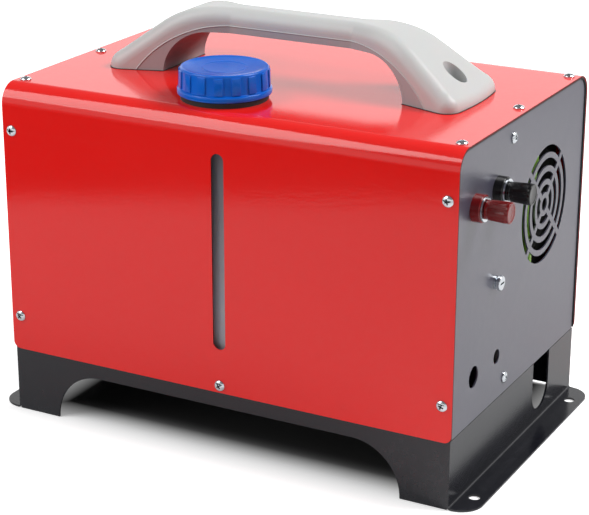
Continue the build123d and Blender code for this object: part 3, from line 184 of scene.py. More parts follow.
def addSky():
    # white to the eye; gloss sees a white band round the horizon under a grey ceiling
    s = skySettings
    world = bpy.data.worlds.new("studioSky")
    scene.world = world
    world.use_nodes = True
    tree = world.node_tree
    sky = tree.nodes["Background"]
    path = tree.nodes.new("ShaderNodeLightPath")
    seen = path.outputs["Is Camera Ray"]
    for label in ("Is Glossy Ray", "Is Transmission Ray"):
        seen = reckoned(tree, "MAXIMUM", seen, path.outputs[label])
    fill(tree, sky.inputs["Strength"], ranged(tree, seen, after=(s["light"], 1.0)))
    upwards = alongAxis(tree, tree.nodes.new("ShaderNodeTexCoord").outputs["Generated"], "Z")
    band = mixColours(tree, ranged(tree, upwards, s["ceilingBand"]), (1, 1, 1), s["ceiling"])
    fill(tree, sky.inputs["Color"], mixColours(tree, path.outputs["Is Glossy Ray"], (1, 1, 1), band))


def addFloor():
    s = floorSettings
    bpy.ops.object.select_all(action="DESELECT")
    bpy.ops.mesh.primitive_plane_add(size=s["size"], location=(0, 0, s["height"]))
    floor = bpy.context.object
    floor.name = "studioFloor"
    material, tree, shader = startMaterial("floorWhite")
    shader.inputs["Roughness"].default_value = s["roughness"]
    shader.inputs["Specular IOR Level"].default_value = s["gloss"]
    point = objectPoint(tree)
    tint = mixColours(tree, noised(tree, point, s["speckleScale"]), *s["colours"])
    # how far inside the footprint a point of the floor is
    inside = [reckoned(tree, "SUBTRACT", half, reckoned(tree, "ABSOLUTE", alongAxis(tree, point, axis)))
              for axis, half in zip("XY", s["footprint"])]
    # painted shadow under the base: it ends at once at the rear wall, and fades out through the arch in front
    behind = ranged(tree, alongAxis(tree, point, "Y"), s["rearReach"], s["rearSteepness"])
    least = reckoned(tree, "MINIMUM", inside[0], reckoned(tree, "MULTIPLY", inside[1], behind))
    # the floor's colour goes dark under the base: painted shadow
    under = ranged(tree, least, s["underShadeBand"], smooth=True)
    fill(tree, shader.inputs["Base Color"], mixColours(tree, under, tint, s["underShadeColour"]))
    # the lift grows with the distance, where the lamps give out
    reach = tree.nodes.new("ShaderNodeVectorMath")
    reach.operation = "LENGTH"
    fill(tree, reach.inputs[0], point)
    raised = reckoned(tree, "MULTIPLY", ranged(tree, least, s["clearBand"]),
                      ranged(tree, reach.outputs["Value"], s["liftReach"], s["lift"]))
    path = tree.nodes.new("ShaderNodeLightPath")
    lift = reckoned(tree, "MULTIPLY", raised, path.outputs["Is Camera Ray"])
    shader.inputs["Emission Color"].default_value = (1, 1, 1, 1)
    fill(tree, shader.inputs["Emission Strength"], lift)
    floor.data.materials.append(material)


def addFlag():
    # a low dark board in front, which only reflections see
    s = flagSettings
    bpy.ops.object.select_all(action="DESELECT")
    turn = turnTowards(s["place"], s["aim"]).to_euler()
    bpy.ops.mesh.primitive_plane_add(size=1, location=s["place"], rotation=turn)
    flag = bpy.context.object
    flag.name = "frontFlag"
    flag.scale = (s["width"], s["height"], 1)
    material, tree, shader = startMaterial("flagFelt")
    shader.inputs["Base Color"].default_value = s["colour"] + (1,)
    shader.inputs["Roughness"].default_value = s["roughness"]
    flag.data.materials.append(material)
    flag.visible_camera = False
    flag.visible_diffuse = False
    flag.visible_shadow = False
    flag.visible_transmission = False


addCamera()
addLamps()
addSky()
addFloor()
addFlag()
scene.view_settings.view_transform = "Standard"
print("camera, lamps and floor ready")


# surface effects that several finishes share
effectSettings = {
    # a noise is given as its scale and detail
    "paintCloud": (9.0, 3.0), "rubPatch": (160.0, 4.0), "rubFull": 0.7,
    "grainDetail": 3.0, "mouldCloud": 14.0, "dustPatch": (40.0, 5.0), "recessShadeNone": 0.495,
}


def newGroup(name, inputs, outputs):
    group = bpy.data.node_groups.new(name, "ShaderNodeTree")
    for label, value in inputs.items():
        socket = group.interface.new_socket(name=label, in_out="INPUT", socket_type="NodeSocketFloat")
        socket.default_value = value
    for label in outputs:
        group.interface.new_socket(name=label, in_out="OUTPUT", socket_type="NodeSocketFloat")
    start = group.nodes.new("NodeGroupInput").outputs
    end = group.nodes.new("NodeGroupOutput").inputs
    return group, start, end


def buildPaintSkin():
    # orange peel of sprayed paint, and a slow change of tone over it
    group, start, end = newGroup("paintSkin", {"Scale": 300.0, "Tone": 0.5}, ["Height", "Shade"])
    point = objectPoint(group)
    fill(group, end["Height"], noised(group, point, start["Scale"]))
    cloud = noised(group, point, *effectSettings["paintCloud"])
    fill(group, end["Shade"], reckoned(group, "MULTIPLY", cloud, start["Tone"]))
    return group


def buildRubbedEdges():
    # where edges and corners are rubbed, broken up by noise
    group, start, end = newGroup("rubbedEdges", {"Amount": 0.3, "Sharpness": 0.52}, ["Mask"])
    patch = noised(group, objectPoint(group), *effectSettings["rubPatch"])
    edge = ranged(group, shapeOf(group, "Pointiness"), (start["Sharpness"], effectSettings["rubFull"]))
    broken = reckoned(group, "MULTIPLY", edge, patch)
    fill(group, end["Mask"], reckoned(group, "MULTIPLY", broken, start["Amount"], clamp=True))
    return group


def buildMouldGrain():
    # the fine matt texture of a moulding, and a slow change of tone over it
    group, start, end = newGroup("mouldGrain", {"Scale": 900.0}, ["Height", "Shade"])
    point = objectPoint(group)
    pits = group.nodes.new("ShaderNodeTexVoronoi")
    fill(group, pits.inputs["Vector"], point)
    fill(group, pits.inputs["Scale"], start["Scale"])
    grain = noised(group, point, start["Scale"], effectSettings["grainDetail"])
    fill(group, end["Height"], reckoned(group, "ADD", pits.outputs["Distance"], grain))
    fill(group, end["Shade"], noised(group, point, effectSettings["mouldCloud"]))
    return group


def buildSettledDust():
    # a thin film on faces that look up
    group, start, end = newGroup("settledDust", {"Amount": 0.1}, ["Mask"])
    patch = noised(group, objectPoint(group), *effectSettings["dustPatch"])
    upwards = reckoned(group, "MULTIPLY", alongAxis(group, shapeOf(group, "Normal"), "Z"), patch, clamp=True)
    fill(group, end["Mask"], reckoned(group, "MULTIPLY", upwards, start["Amount"], clamp=True))
    return group


def buildHollowShade():
    # painted shade: darkens the recesses and grooves
    group, start, end = newGroup("hollowShade", {"Depth": 0.47}, ["Mask"])
    band = (start["Depth"], effectSettings["recessShadeNone"])
    fill(group, end["Mask"], ranged(group, shapeOf(group, "Pointiness"), band, (1.0, 0.0), smooth=True))
    return group


def buildCutEnds():
    # the sheared ends of a sheet, which face along X
    group, start, end = newGroup("cutEnds", {"Limit": 0.95}, ["Mask"])
    size = reckoned(group, "ABSOLUTE", alongAxis(group, shapeOf(group, "True Normal"), "X"))
    fill(group, end["Mask"], reckoned(group, "GREATER_THAN", size, start["Limit"]))
    return group


paintSkin = buildPaintSkin()
rubbedEdges = buildRubbedEdges()
mouldGrain = buildMouldGrain()
settledDust = buildSettledDust()
hollowShade = buildHollowShade()
cutEnds = buildCutEnds()


# finishes
finishSettings = {
    "paintDust": (0.55, 0.53, 0.5), "peelHeight": 0.0004, "endRoughness": 0.8,
    "plasticDust": (0.6, 0.58, 0.55), "grainHeight": 0.0002, "glowDepth": 0.004,
    "recessShadeColour": (0.012, 0.015, 0.024), "recessShadeDepth": 0.47, "metalCloud": 0.3,
}


def useGroup(tree, group, **values):
    node = tree.nodes.new("ShaderNodeGroup")
    node.node_tree = group
    for label, value in values.items():
        node.inputs[label].default_value = value
    return node.outputs


def bumpFrom(tree, height, strength, distance):
    node = tree.nodes.new("ShaderNodeBump")
    node.inputs["Strength"].default_value = strength
    node.inputs["Distance"].default_value = distance
    fill(tree, node.inputs["Height"], height)
    return node.outputs["Normal"]


def paintedSteel(name, s):
    f = finishSettings
    material, tree, shader = startMaterial(name)
    skin = useGroup(tree, paintSkin, Scale=s["peelScale"], Tone=1.0)
    rub = useGroup(tree, rubbedEdges, Amount=s["rub"])
    dust = useGroup(tree, settledDust, Amount=s["dust"])
    colour = mixColours(tree, skin["Shade"], s["colour"], s["cloudColour"])
    colour = mixColours(tree, rub["Mask"], colour, s["rubColour"])
    colour = mixColours(tree, dust["Mask"], colour, f["paintDust"])
    roughness = ranged(tree, skin["Shade"], after=s["roughness"])
    # the cut ends of the cover are painted dark: painted shade
    if "endShadeColour" in s:
        ends = useGroup(tree, cutEnds)
        colour = mixColours(tree, ends["Mask"], colour, s["endShadeColour"])
        endRoughness = ranged(tree, ends["Mask"], after=(0.0, f["endRoughness"]))
        roughness = reckoned(tree, "MAXIMUM", endRoughness, roughness)
    fill(tree, shader.inputs["Base Color"], colour)
    fill(tree, shader.inputs["Roughness"], roughness)
    fill(tree, shader.inputs["Normal"], bumpFrom(tree, skin["Height"], s["peel"], f["peelHeight"]))
    shader.inputs["IOR"].default_value = s.get("ior", 1.5)
    return material


def mouldedPlastic(name, s):
    f = finishSettings
    material, tree, shader = startMaterial(name)
    grain = useGroup(tree, mouldGrain, Scale=s["grainScale"])
    rub = useGroup(tree, rubbedEdges, Amount=s["rub"])
    dust = useGroup(tree, settledDust, Amount=s["dust"])
    colour = mixColours(tree, grain["Shade"], s["colour"], s["cloudColour"])
    if "lowColour" in s:                       # lighter towards the bottom, below a height
        depth = ranged(tree, alongAxis(tree, objectPoint(tree), "Z"), s["lowBand"])
        colour = mixColours(tree, depth, colour, s["lowColour"])
    if "underShadeColour" in s:                     # faces that look down are darker: painted shade
        below = ranged(tree, alongAxis(tree, shapeOf(tree, "Normal"), "Z"), s["underShadeBand"])
        colour = mixColours(tree, below, colour, s["underShadeColour"])
    colour = mixColours(tree, rub["Mask"], colour, s["rubColour"])
    colour = mixColours(tree, dust["Mask"], colour, f["plasticDust"])
    fill(tree, shader.inputs["Base Color"], colour)
    fill(tree, shader.inputs["Roughness"], ranged(tree, grain["Shade"], after=s["roughness"]))
    fill(tree, shader.inputs["Normal"], bumpFrom(tree, grain["Height"], s["grain"], f["grainHeight"]))
    shader.inputs["IOR"].default_value = s.get("ior", 1.5)
    shader.inputs["Specular IOR Level"].default_value = s.get("gloss", 0.5)
    shader.inputs["Subsurface Weight"].default_value = s.get("glow", 0.0)
    shader.inputs["Subsurface Scale"].default_value = f["glowDepth"]
    shader.inputs["Transmission Weight"].default_value = s.get("clear", 0.0)
    return material


def bareMetal(name, s):
    f = finishSettings
    material, tree, shader = startMaterial(name)
    grain = useGroup(tree, mouldGrain, Scale=s["grainScale"])
    skin = useGroup(tree, paintSkin, Scale=s["grainScale"] * f["metalCloud"], Tone=1.0)
    recessShade = useGroup(tree, hollowShade, Depth=f["recessShadeDepth"])
    colour = mixColours(tree, skin["Shade"], s["colour"], s["cloudColour"])
    # recesses and grooves painted dark: painted shade
    colour = mixColours(tree, recessShade["Mask"], colour, f["recessShadeColour"])
    fill(tree, shader.inputs["Base Color"], colour)
    shader.inputs["Metallic"].default_value = 1.0
    fill(tree, shader.inputs["Roughness"], ranged(tree, grain["Shade"], after=s["roughness"]))
    fill(tree, shader.inputs["Normal"], bumpFrom(tree, grain["Height"], s["grain"], f["grainHeight"]))
    return material


paints = {
    "cover_red": {
        "colour": (0.79, 0.0065, 0.005), "cloudColour": (0.83, 0.0085, 0.0065),
        "rubColour": (0.72, 0.06, 0.05),
        "peelScale": 420.0, "peel": 0.10, "rub": 0.25, "dust": 0.01, "roughness": (0.08, 0.12),
        # the dark colour of the cut ends is painted shade
        "endShadeColour": (0.15, 0.012, 0.012)},
    "panel_grey": {
        "colour": (0.048, 0.045, 0.074), "cloudColour": (0.056, 0.053, 0.083), "rubColour": (0.2, 0.2, 0.21),
        "peelScale": 900.0, "peel": 0.12, "rub": 0.3, "dust": 0.0, "roughness": (0.30, 0.35), "ior": 2.0},
    "base_black": {
        "colour": (0.0035, 0.004, 0.008), "cloudColour": (0.005, 0.0055, 0.010),
        "rubColour": (0.12, 0.12, 0.13),
        "peelScale": 900.0, "peel": 0.12, "rub": 0.3, "dust": 0.0, "roughness": (0.16, 0.24)},
}
plastics = {
    "handle_grey": {
        "colour": (0.53, 0.535, 0.53), "cloudColour": (0.57, 0.575, 0.57), "rubColour": (0.66, 0.66, 0.65),
        "grainScale": 1500.0, "grain": 0.08, "rub": 0.2, "dust": 0.03, "roughness": (0.36, 0.46),
        # the darker colour for faces that look down is painted shade
        "glow": 0.05, "underShadeColour": (0.22, 0.205, 0.215), "underShadeBand": (0.0, -0.6)},
    # a darker copy of the handle grey for the lower half: painted shade
    "handle_painted_shade": {
        "colour": (0.455, 0.45, 0.455), "cloudColour": (0.495, 0.49, 0.495), "rubColour": (0.6, 0.6, 0.59),
        "grainScale": 1500.0, "grain": 0.08, "rub": 0.2, "dust": 0.03, "roughness": (0.42, 0.5),
        "glow": 0.05, "underShadeColour": (0.20, 0.19, 0.195), "underShadeBand": (0.15, -0.3)},
    "tank_white": {
        "colour": (0.12, 0.115, 0.135), "cloudColour": (0.16, 0.155, 0.18), "rubColour": (0.5, 0.5, 0.5),
        "grainScale": 500.0, "grain": 0.1, "rub": 0.1, "dust": 0.0, "roughness": (0.35, 0.5),
        "glow": 0.3, "lowColour": (0.40, 0.39, 0.44), "lowBand": (0.232, 0.120)},
    "cap_blue": {
        "colour": (0.001, 0.114, 0.57), "cloudColour": (0.0015, 0.122, 0.62), "rubColour": (0.10, 0.22, 0.66),
        "grainScale": 1200.0, "grain": 0.03, "rub": 0.35, "dust": 0.0, "roughness": (0.13, 0.19),
        "glow": 0.05, "gloss": 0.3},
    "black_rubber": {
        "colour": (0.010, 0.010, 0.010), "cloudColour": (0.018, 0.018, 0.018),
        "rubColour": (0.06, 0.06, 0.06),
        "grainScale": 1200.0, "grain": 0.2, "rub": 0.2, "dust": 0.05, "roughness": (0.5, 0.7)},
    "post_red": {
        "colour": (0.17, 0.0008, 0.0015), "cloudColour": (0.21, 0.001, 0.002),
        "rubColour": (0.42, 0.12, 0.14),
        "grainScale": 1500.0, "grain": 0.04, "rub": 0.4, "dust": 0.0, "roughness": (0.10, 0.16),
        "ior": 1.47},
    "post_black": {
        "colour": (0.002, 0.002, 0.0025), "cloudColour": (0.004, 0.004, 0.0045),
        "rubColour": (0.14, 0.14, 0.13),
        "grainScale": 1500.0, "grain": 0.04, "rub": 0.4, "dust": 0.0, "roughness": (0.10, 0.16),
        "ior": 1.47},
    "hose_green": {
        "colour": (0.27, 0.57, 0.05), "cloudColour": (0.33, 0.64, 0.07), "rubColour": (0.3, 0.5, 0.15),
        "grainScale": 900.0, "grain": 0.06, "rub": 0.2, "dust": 0.02, "roughness": (0.28, 0.4),
        "glow": 0.1},
    "filter_clear": {
        "colour": (0.7, 0.7, 0.66), "cloudColour": (0.76, 0.76, 0.72), "rubColour": (0.8, 0.8, 0.8),
        "grainScale": 900.0, "grain": 0.03, "rub": 0.1, "dust": 0.0, "roughness": (0.15, 0.25),
        "clear": 0.6},
    "black_plastic": {
        "colour": (0.012, 0.012, 0.013), "cloudColour": (0.019, 0.019, 0.020),
        "rubColour": (0.07, 0.07, 0.07),
        "grainScale": 1100.0, "grain": 0.12, "rub": 0.2, "dust": 0.06, "roughness": (0.4, 0.55)},
    "gasket_grey": {
        "colour": (0.09, 0.09, 0.09), "cloudColour": (0.13, 0.13, 0.13), "rubColour": (0.2, 0.2, 0.2),
        "grainScale": 900.0, "grain": 0.3, "rub": 0.1, "dust": 0.0, "roughness": (0.7, 0.85)},
    "lead_red": {
        "colour": (0.45, 0.015, 0.012), "cloudColour": (0.52, 0.02, 0.02), "rubColour": (0.6, 0.1, 0.1),
        "grainScale": 1000.0, "grain": 0.05, "rub": 0.2, "dust": 0.02, "roughness": (0.35, 0.45)},
    "lead_black": {
        "colour": (0.012, 0.012, 0.012), "cloudColour": (0.02, 0.02, 0.02), "rubColour": (0.08, 0.08, 0.08),
        "grainScale": 1000.0, "grain": 0.05, "rub": 0.2, "dust": 0.02, "roughness": (0.35, 0.45)},
}
metals = {
    "inner_steel": {
        "colour": (0.50, 0.51, 0.52), "cloudColour": (0.58, 0.59, 0.60), "grainScale": 700.0, "grain": 0.12,
        "roughness": (0.35, 0.5)},
    "zinc": {
        "colour": (0.61, 0.65, 0.69), "cloudColour": (0.71, 0.74, 0.77), "grainScale": 900.0, "grain": 0.04,
        "roughness": (0.12, 0.20)},
    "cast_alu": {
        "colour": (0.58, 0.59, 0.60), "cloudColour": (0.66, 0.67, 0.68), "grainScale": 600.0, "grain": 0.4,
        "roughness": (0.5, 0.65)},
    "burner_steel": {
        "colour": (0.34, 0.30, 0.26), "cloudColour": (0.44, 0.42, 0.42), "grainScale": 500.0, "grain": 0.15,
        "roughness": (0.35, 0.5)},
    "brass_fitting": {
        "colour": (0.62, 0.44, 0.16), "cloudColour": (0.72, 0.54, 0.24), "grainScale": 700.0, "grain": 0.08,
        "roughness": (0.22, 0.34)},
    "motor_steel": {
        "colour": (0.46, 0.46, 0.48), "cloudColour": (0.54, 0.54, 0.56), "grainScale": 700.0, "grain": 0.1,
        "roughness": (0.28, 0.4)},
}
ownFinish = {"handle_lower": "handle_painted_shade"}   # the lower half gets a darker, duller copy of the handle grey; its darker colour is painted shade
finishes = {}
for family, make in ((paints, paintedSteel), (plastics, mouldedPlastic), (metals, bareMetal)):
    for name, s in family.items():
        finishes[name] = make(name, s)


def dressNodes():
    for part in frame["record"]["subparts"]:
        node = nodes[part["node"]]
        finish = finishes[ownFinish.get(part["node"], part["material_slot"])]
        if not node.data.materials:
            node.data.materials.append(finish)
        for slot in node.material_slots:
            slot.material = finish


dressNodes()
print("finishes ready")


# helpers for modelling
mergeDistance = 1e-6


def clearSelection():
    bpy.ops.object.select_all(action="DESELECT")


def takeUp(piece):
    clearSelection()
    piece.select_set(True)
    bpy.context.view_layer.objects.active = piece


def binned(piece):
    takeUp(piece)
    bpy.ops.object.delete()


def pick(piece, test, mode="FACE"):
    # goes into edit mode with what passes the test selected
    takeUp(piece)
    bpy.ops.object.mode_set(mode="EDIT")
    bpy.ops.mesh.select_mode(type=mode)
    bpy.ops.mesh.select_all(action="DESELECT")
    bpy.ops.object.mode_set(mode="OBJECT")
    if mode == "FACE":
        for face in piece.data.polygons:
            face.select = test(face.center, face.normal)
    else:
        for vertex in piece.data.vertices:
            vertex.select = test(vertex.co, vertex.normal)
    bpy.ops.object.mode_set(mode="EDIT")


def tidyMesh(piece):
    takeUp(piece)
    bpy.ops.object.mode_set(mode="EDIT")
    bpy.ops.mesh.select_all(action="SELECT")
    bpy.ops.mesh.remove_doubles(threshold=mergeDistance)
    bpy.ops.mesh.dissolve_degenerate(threshold=mergeDistance)
    bpy.ops.mesh.normals_make_consistent(inside=False)
    bpy.ops.object.mode_set(mode="OBJECT")


def drawn(points):
    # a line of (x, y, z) points in millimetres; stays in edit mode, selected all over
    clearSelection()
    bpy.ops.mesh.primitive_plane_add(size=0.002)
    piece = bpy.context.object
    bpy.ops.object.mode_set(mode="EDIT")
    bpy.ops.mesh.select_mode(type="VERT")
    bpy.ops.mesh.merge(type="CENTER")
    bpy.ops.transform.translate(value=[value / 1000 for value in points[0]])
    for last, point in zip(points, points[1:]):
        step = [(new - old) / 1000 for old, new in zip(last, point)]
        bpy.ops.mesh.extrude_region_move(TRANSFORM_OT_translate={"value": step})
    bpy.ops.mesh.select_all(action="SELECT")
    return piece


def turned(name, profile, steps):
    # a line of (radius, height) points in millimetres, spun about Z
    piece = drawn([(radius, 0, height) for radius, height in profile])
    piece.name = name
    bpy.ops.mesh.spin(steps=steps, angle=2 * math.pi, center=(0, 0, 0), axis=(0, 0, 1))
    bpy.ops.object.mode_set(mode="OBJECT")
    tidyMesh(piece)
    return piece


def applied(piece, kind, **settings):
    takeUp(piece)
    modifier = piece.modifiers.new(kind.lower(), kind)
    for label, value in settings.items():
        setattr(modifier, label, value)
    bpy.ops.object.modifier_apply(modifier=modifier.name)


def bevelled(piece, width, segments, degrees):
    applied(piece, "BEVEL", width=width / 1000, segments=segments,
            limit_method="ANGLE", angle_limit=math.radians(degrees))


def seated(piece, place, direction=(0, 0, 1), turn=0.0):
    # stands the piece on a point, facing a direction, and puts that into its mesh
    piece.rotation_mode = "QUATERNION"
    piece.rotation_quaternion = (Vector(direction).to_track_quat("Z", "Y")
                                 @ Quaternion((0, 0, 1), math.radians(turn)))
    piece.location = place
    takeUp(piece)
    bpy.ops.object.transform_apply(location=True, rotation=True, scale=True)


def copied(piece, name):
    takeUp(piece)
    bpy.ops.object.duplicate(linked=False)
    twin = bpy.context.object
    twin.name = name
    return twin


def smoothed(piece, degrees):
    takeUp(piece)
    bpy.ops.object.shade_smooth_by_angle(angle=math.radians(degrees))


def dressed(piece, slot, body, *replacedNodes):
    piece.data.materials.clear()
    piece.data.materials.append(finishes[slot])
    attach(piece, body)
    if replacedNodes:
        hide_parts(*replacedNodes)


def middleOf(node):
    low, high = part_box(node)
    return [(low[i] + high[i]) / 2 for i in range(3)], low


# fuel cap, in millimetres
fuelCap = {
    "radius": 35.5, "topRadius": 33.0, "footRadius": 33.6, "height": 20.0,
    "bore": 26.3, "roof": 2.5, "threads": 4, "threadTop": 2.5, "threadPitch": 3.2, "threadDepth": 0.8,
    # foot and skirt: in from the radius, up from the foot
    "foot": [(0.7, 0.0), (0.15, 0.25), (0.0, 0.8)],
    "skirt": [(0.0, 3.3), (0.3, 4.05), (1.0, 4.45)],
    "wallFoot": 5.2,
    # rim: in from the top radius, down from the top; groove: radius, down from the top
    "rim": [(0.0, 1.1), (0.3, 0.5), (0.8, 0.12), (1.5, 0.0), (2.3, 0.08), (3.6, 0.4),
            (6.0, 0.8), (10.0, 1.1)],
    "ringGroove": [(17.0, 1.25), (16.7, 1.5), (16.3, 1.5), (16.0, 1.3)],
    "middleDrop": 1.45,
    "ribs": 16, "ribDegrees": 4.7, "ribProud": 1.0, "ribFoot": 5.5, "ribDrop": 2.0,
    "stepsPerRib": 12, "wallInside": 30.0, "bevel": 0.45,
}


def makeFuelCap():
    s = fuelCap
    h = s["height"]
    bore = s["bore"]
    roof = h - s["roof"]
    profile = [(0, roof), (bore, roof)]
    for turn in range(s["threads"]):           # thread cut into the wall
        level = roof - s["threadTop"] - s["threadPitch"] * turn
        profile += [(bore, level), (bore + s["threadDepth"], level - 0.6),
                    (bore + s["threadDepth"], level - 1.2), (bore, level - 1.8)]
    profile += [(bore, 0.9), (bore + 0.8, 0.0)]
    profile += [(s["radius"] - inwards, up) for inwards, up in s["foot"] + s["skirt"]]
    slope = (s["topRadius"] - s["footRadius"]) / h
    profile += [(s["footRadius"] + slope * up, up) for up in (s["wallFoot"], h - s["ribDrop"])]
    profile += [(s["topRadius"] - inwards, h - down) for inwards, down in s["rim"]]
    profile += [(radius, h - down) for radius, down in s["ringGroove"]]
    profile.append((0, h - s["middleDrop"]))
    piece = turned("fuelCapRibbed", profile, s["ribs"] * s["stepsPerRib"])

    def onRib(centre, normal):
        pitch = 360 / s["ribs"]
        angle = (math.degrees(math.atan2(centre.y, centre.x)) + pitch / 2) % pitch - pitch / 2
        tall = s["ribFoot"] / 1000 < centre.z < (h - s["ribDrop"]) / 1000
        onWall = math.hypot(centre.x, centre.y) > s["wallInside"] / 1000
        return tall and onWall and abs(angle) < s["ribDegrees"]

    pick(piece, onRib)
    bpy.ops.mesh.extrude_region_move()
    bpy.ops.transform.shrink_fatten(value=s["ribProud"] / 1000)
    bpy.ops.object.mode_set(mode="OBJECT")
    bevelled(piece, s["bevel"], 3, 38)
    tidyMesh(piece)
    middle, low = middleOf("fuel_cap")
    seated(piece, (middle[0], middle[1], low[2]))
    smoothed(piece, 32)
    dressed(piece, "cap_blue", "cap", "fuel_cap")


makeFuelCap()
print("fuel cap ready")


# dark strip under the feet of the handle, standing in for their contact shadow: painted shadow, in
# millimetres
handleFootShadow = {"height": 0.45, "proud": 0.55, "footMiddle": (127.1, 0, 269), "footHalf": (24.1, 42.3)}


def makeHandleFootShadow():
    s = handleFootShadow
    halves = [copied(nodes[name], "handleFootShadowHalf") for name in ("handle_upper", "handle_lower")]
    takeUp(halves[0])
    halves[1].select_set(True)
    bpy.ops.object.join()
    piece = bpy.context.object
    piece.name = "handleFootShadow"
    level = s["footMiddle"][2] / 1000 + 0.0001
    pick(piece, lambda centre, normal: not (normal.z < -0.9 and centre.z < level))
    bpy.ops.mesh.delete(type="FACE")
    bpy.ops.object.mode_set(mode="OBJECT")
    tidyMesh(piece)
    growth = [1 + s["proud"] / half for half in s["footHalf"]]
    for side in (-1, 1):
        pick(piece, lambda point, normal: point.x * side > 0, mode="VERT")
        middle = [side * s["footMiddle"][0] / 1000, 0, s["footMiddle"][2] / 1000]
        bpy.ops.transform.resize(value=(growth[0], growth[1], 1), center_override=middle)
        bpy.ops.object.mode_set(mode="OBJECT")
    pick(piece, lambda centre, normal: True)
    bpy.ops.mesh.dissolve_limited(angle_limit=math.radians(1))
    bpy.ops.mesh.extrude_region_move(TRANSFORM_OT_translate={"value": (0, 0, s["height"] / 1000)})
    bpy.ops.object.mode_set(mode="OBJECT")
    tidyMesh(piece)
    smoothed(piece, 30)
    # black rubber on a strip where there is only contact shadow: painted shadow
    dressed(piece, "black_rubber", "case")


makeHandleFootShadow()
print("handle seal ready")


# black strips in the gap between the cover and its two end panels, standing in for the shade in that gap:
# painted shade, in millimetres
panelGapShade = {
    "innerY": 123.75, "innerTop": 267.75, "corner": 14.75, "foot": 55.0, "cornerSteps": 10,
    "from": 186.9, "to": 189.75, "thickness": 0.9, "bevel": 0.2,
}


def makePanelGapShades():
    s = panelGapShade
    corner, steps = s["corner"], s["cornerSteps"]
    path = [(-s["innerY"], s["foot"])]
    for step in range(steps + 1):
        angle = math.pi / 2 * step / steps
        path.append((-s["innerY"] + corner * (1 - math.cos(angle)),
                     s["innerTop"] - corner * (1 - math.sin(angle))))
    path += [(-y, z) for y, z in reversed(path)]
    shadeStrip = drawn([(s["from"], y, z) for y, z in path])
    width = (s["to"] - s["from"]) / 1000
    bpy.ops.mesh.extrude_region_move(TRANSFORM_OT_translate={"value": (width, 0, 0)})
    bpy.ops.object.mode_set(mode="OBJECT")
    tidyMesh(shadeStrip)
    topFace = max(shadeStrip.data.polygons, key=lambda face: face.area * (face.center.z * 1000 > s["innerTop"] - 1))
    inwards = topFace.normal.z < 0
    pick(shadeStrip, lambda centre, normal: True)
    if inwards:
        bpy.ops.mesh.flip_normals()
    bpy.ops.object.mode_set(mode="OBJECT")
    applied(shadeStrip, "SOLIDIFY", thickness=s["thickness"] / 1000, offset=-1)
    bevelled(shadeStrip, s["bevel"], 2, 50)
    tidyMesh(shadeStrip)
    for turn, name in ((0, "panelGapShadeRight"), (180, "panelGapShadeLeft")):
        twin = copied(shadeStrip, name)
        seated(twin, (0, 0, 0), turn=turn)
        smoothed(twin, 30)
        # black rubber where there is only the shade of the gap: painted shade
        dressed(twin, "black_rubber", "case")
    binned(shadeStrip)


makePanelGapShades()
print("panel shadeStrips ready")


# moulding line where the halves of the handle meet, in millimetres
mouldLine = {"radius": 0.5, "seatNormal": 0.3, "ringSteps": 2}


def makeMouldLine():
    s = mouldLine
    guide = copied(nodes["handle_lower"], "mouldLineGuide")
    tidyMesh(guide)
    pick(guide, lambda centre, normal: normal.z > s["seatNormal"] and abs(normal.y) < 0.1)
    bpy.ops.mesh.region_to_loop()
    bpy.ops.mesh.duplicate()
    bpy.ops.mesh.separate(type="SELECTED")
    bpy.ops.object.mode_set(mode="OBJECT")
    piece = [other for other in bpy.context.selected_objects if other is not guide][0]
    piece.name = "handleMouldLine"
    binned(guide)
    tidyMesh(piece)
    bpy.ops.object.convert(target="CURVE")
    piece.data.bevel_depth = s["radius"] / 1000
    piece.data.bevel_resolution = s["ringSteps"]
    bpy.ops.object.convert(target="MESH")
    piece = bpy.context.object
    tidyMesh(piece)
    smoothed(piece, 60)
    dressed(piece, "handle_grey", "case")


makeMouldLine()
print("moulding line ready")


# knobs of the two posts, in millimetres
postKnob = {
    "radius": 7.8, "length": 18.2, "bore": 3.1, "roof": 2.0, "neck": 7.1,
    "flutes": 30, "fluteDepth": 0.55, "fluteEnds": (2.6, 15.8), "bands": 7, "bandSpread": 0.9,
    # in from the radius, down from the end
    "endEdge": [(0.0, 0.45), (0.15, 0.15), (0.5, 0.02), (1.6, 0.0), (2.0, 0.25)],
    "endDrop": 0.3, "bevel": 0.12, "turn": 3.0,
}


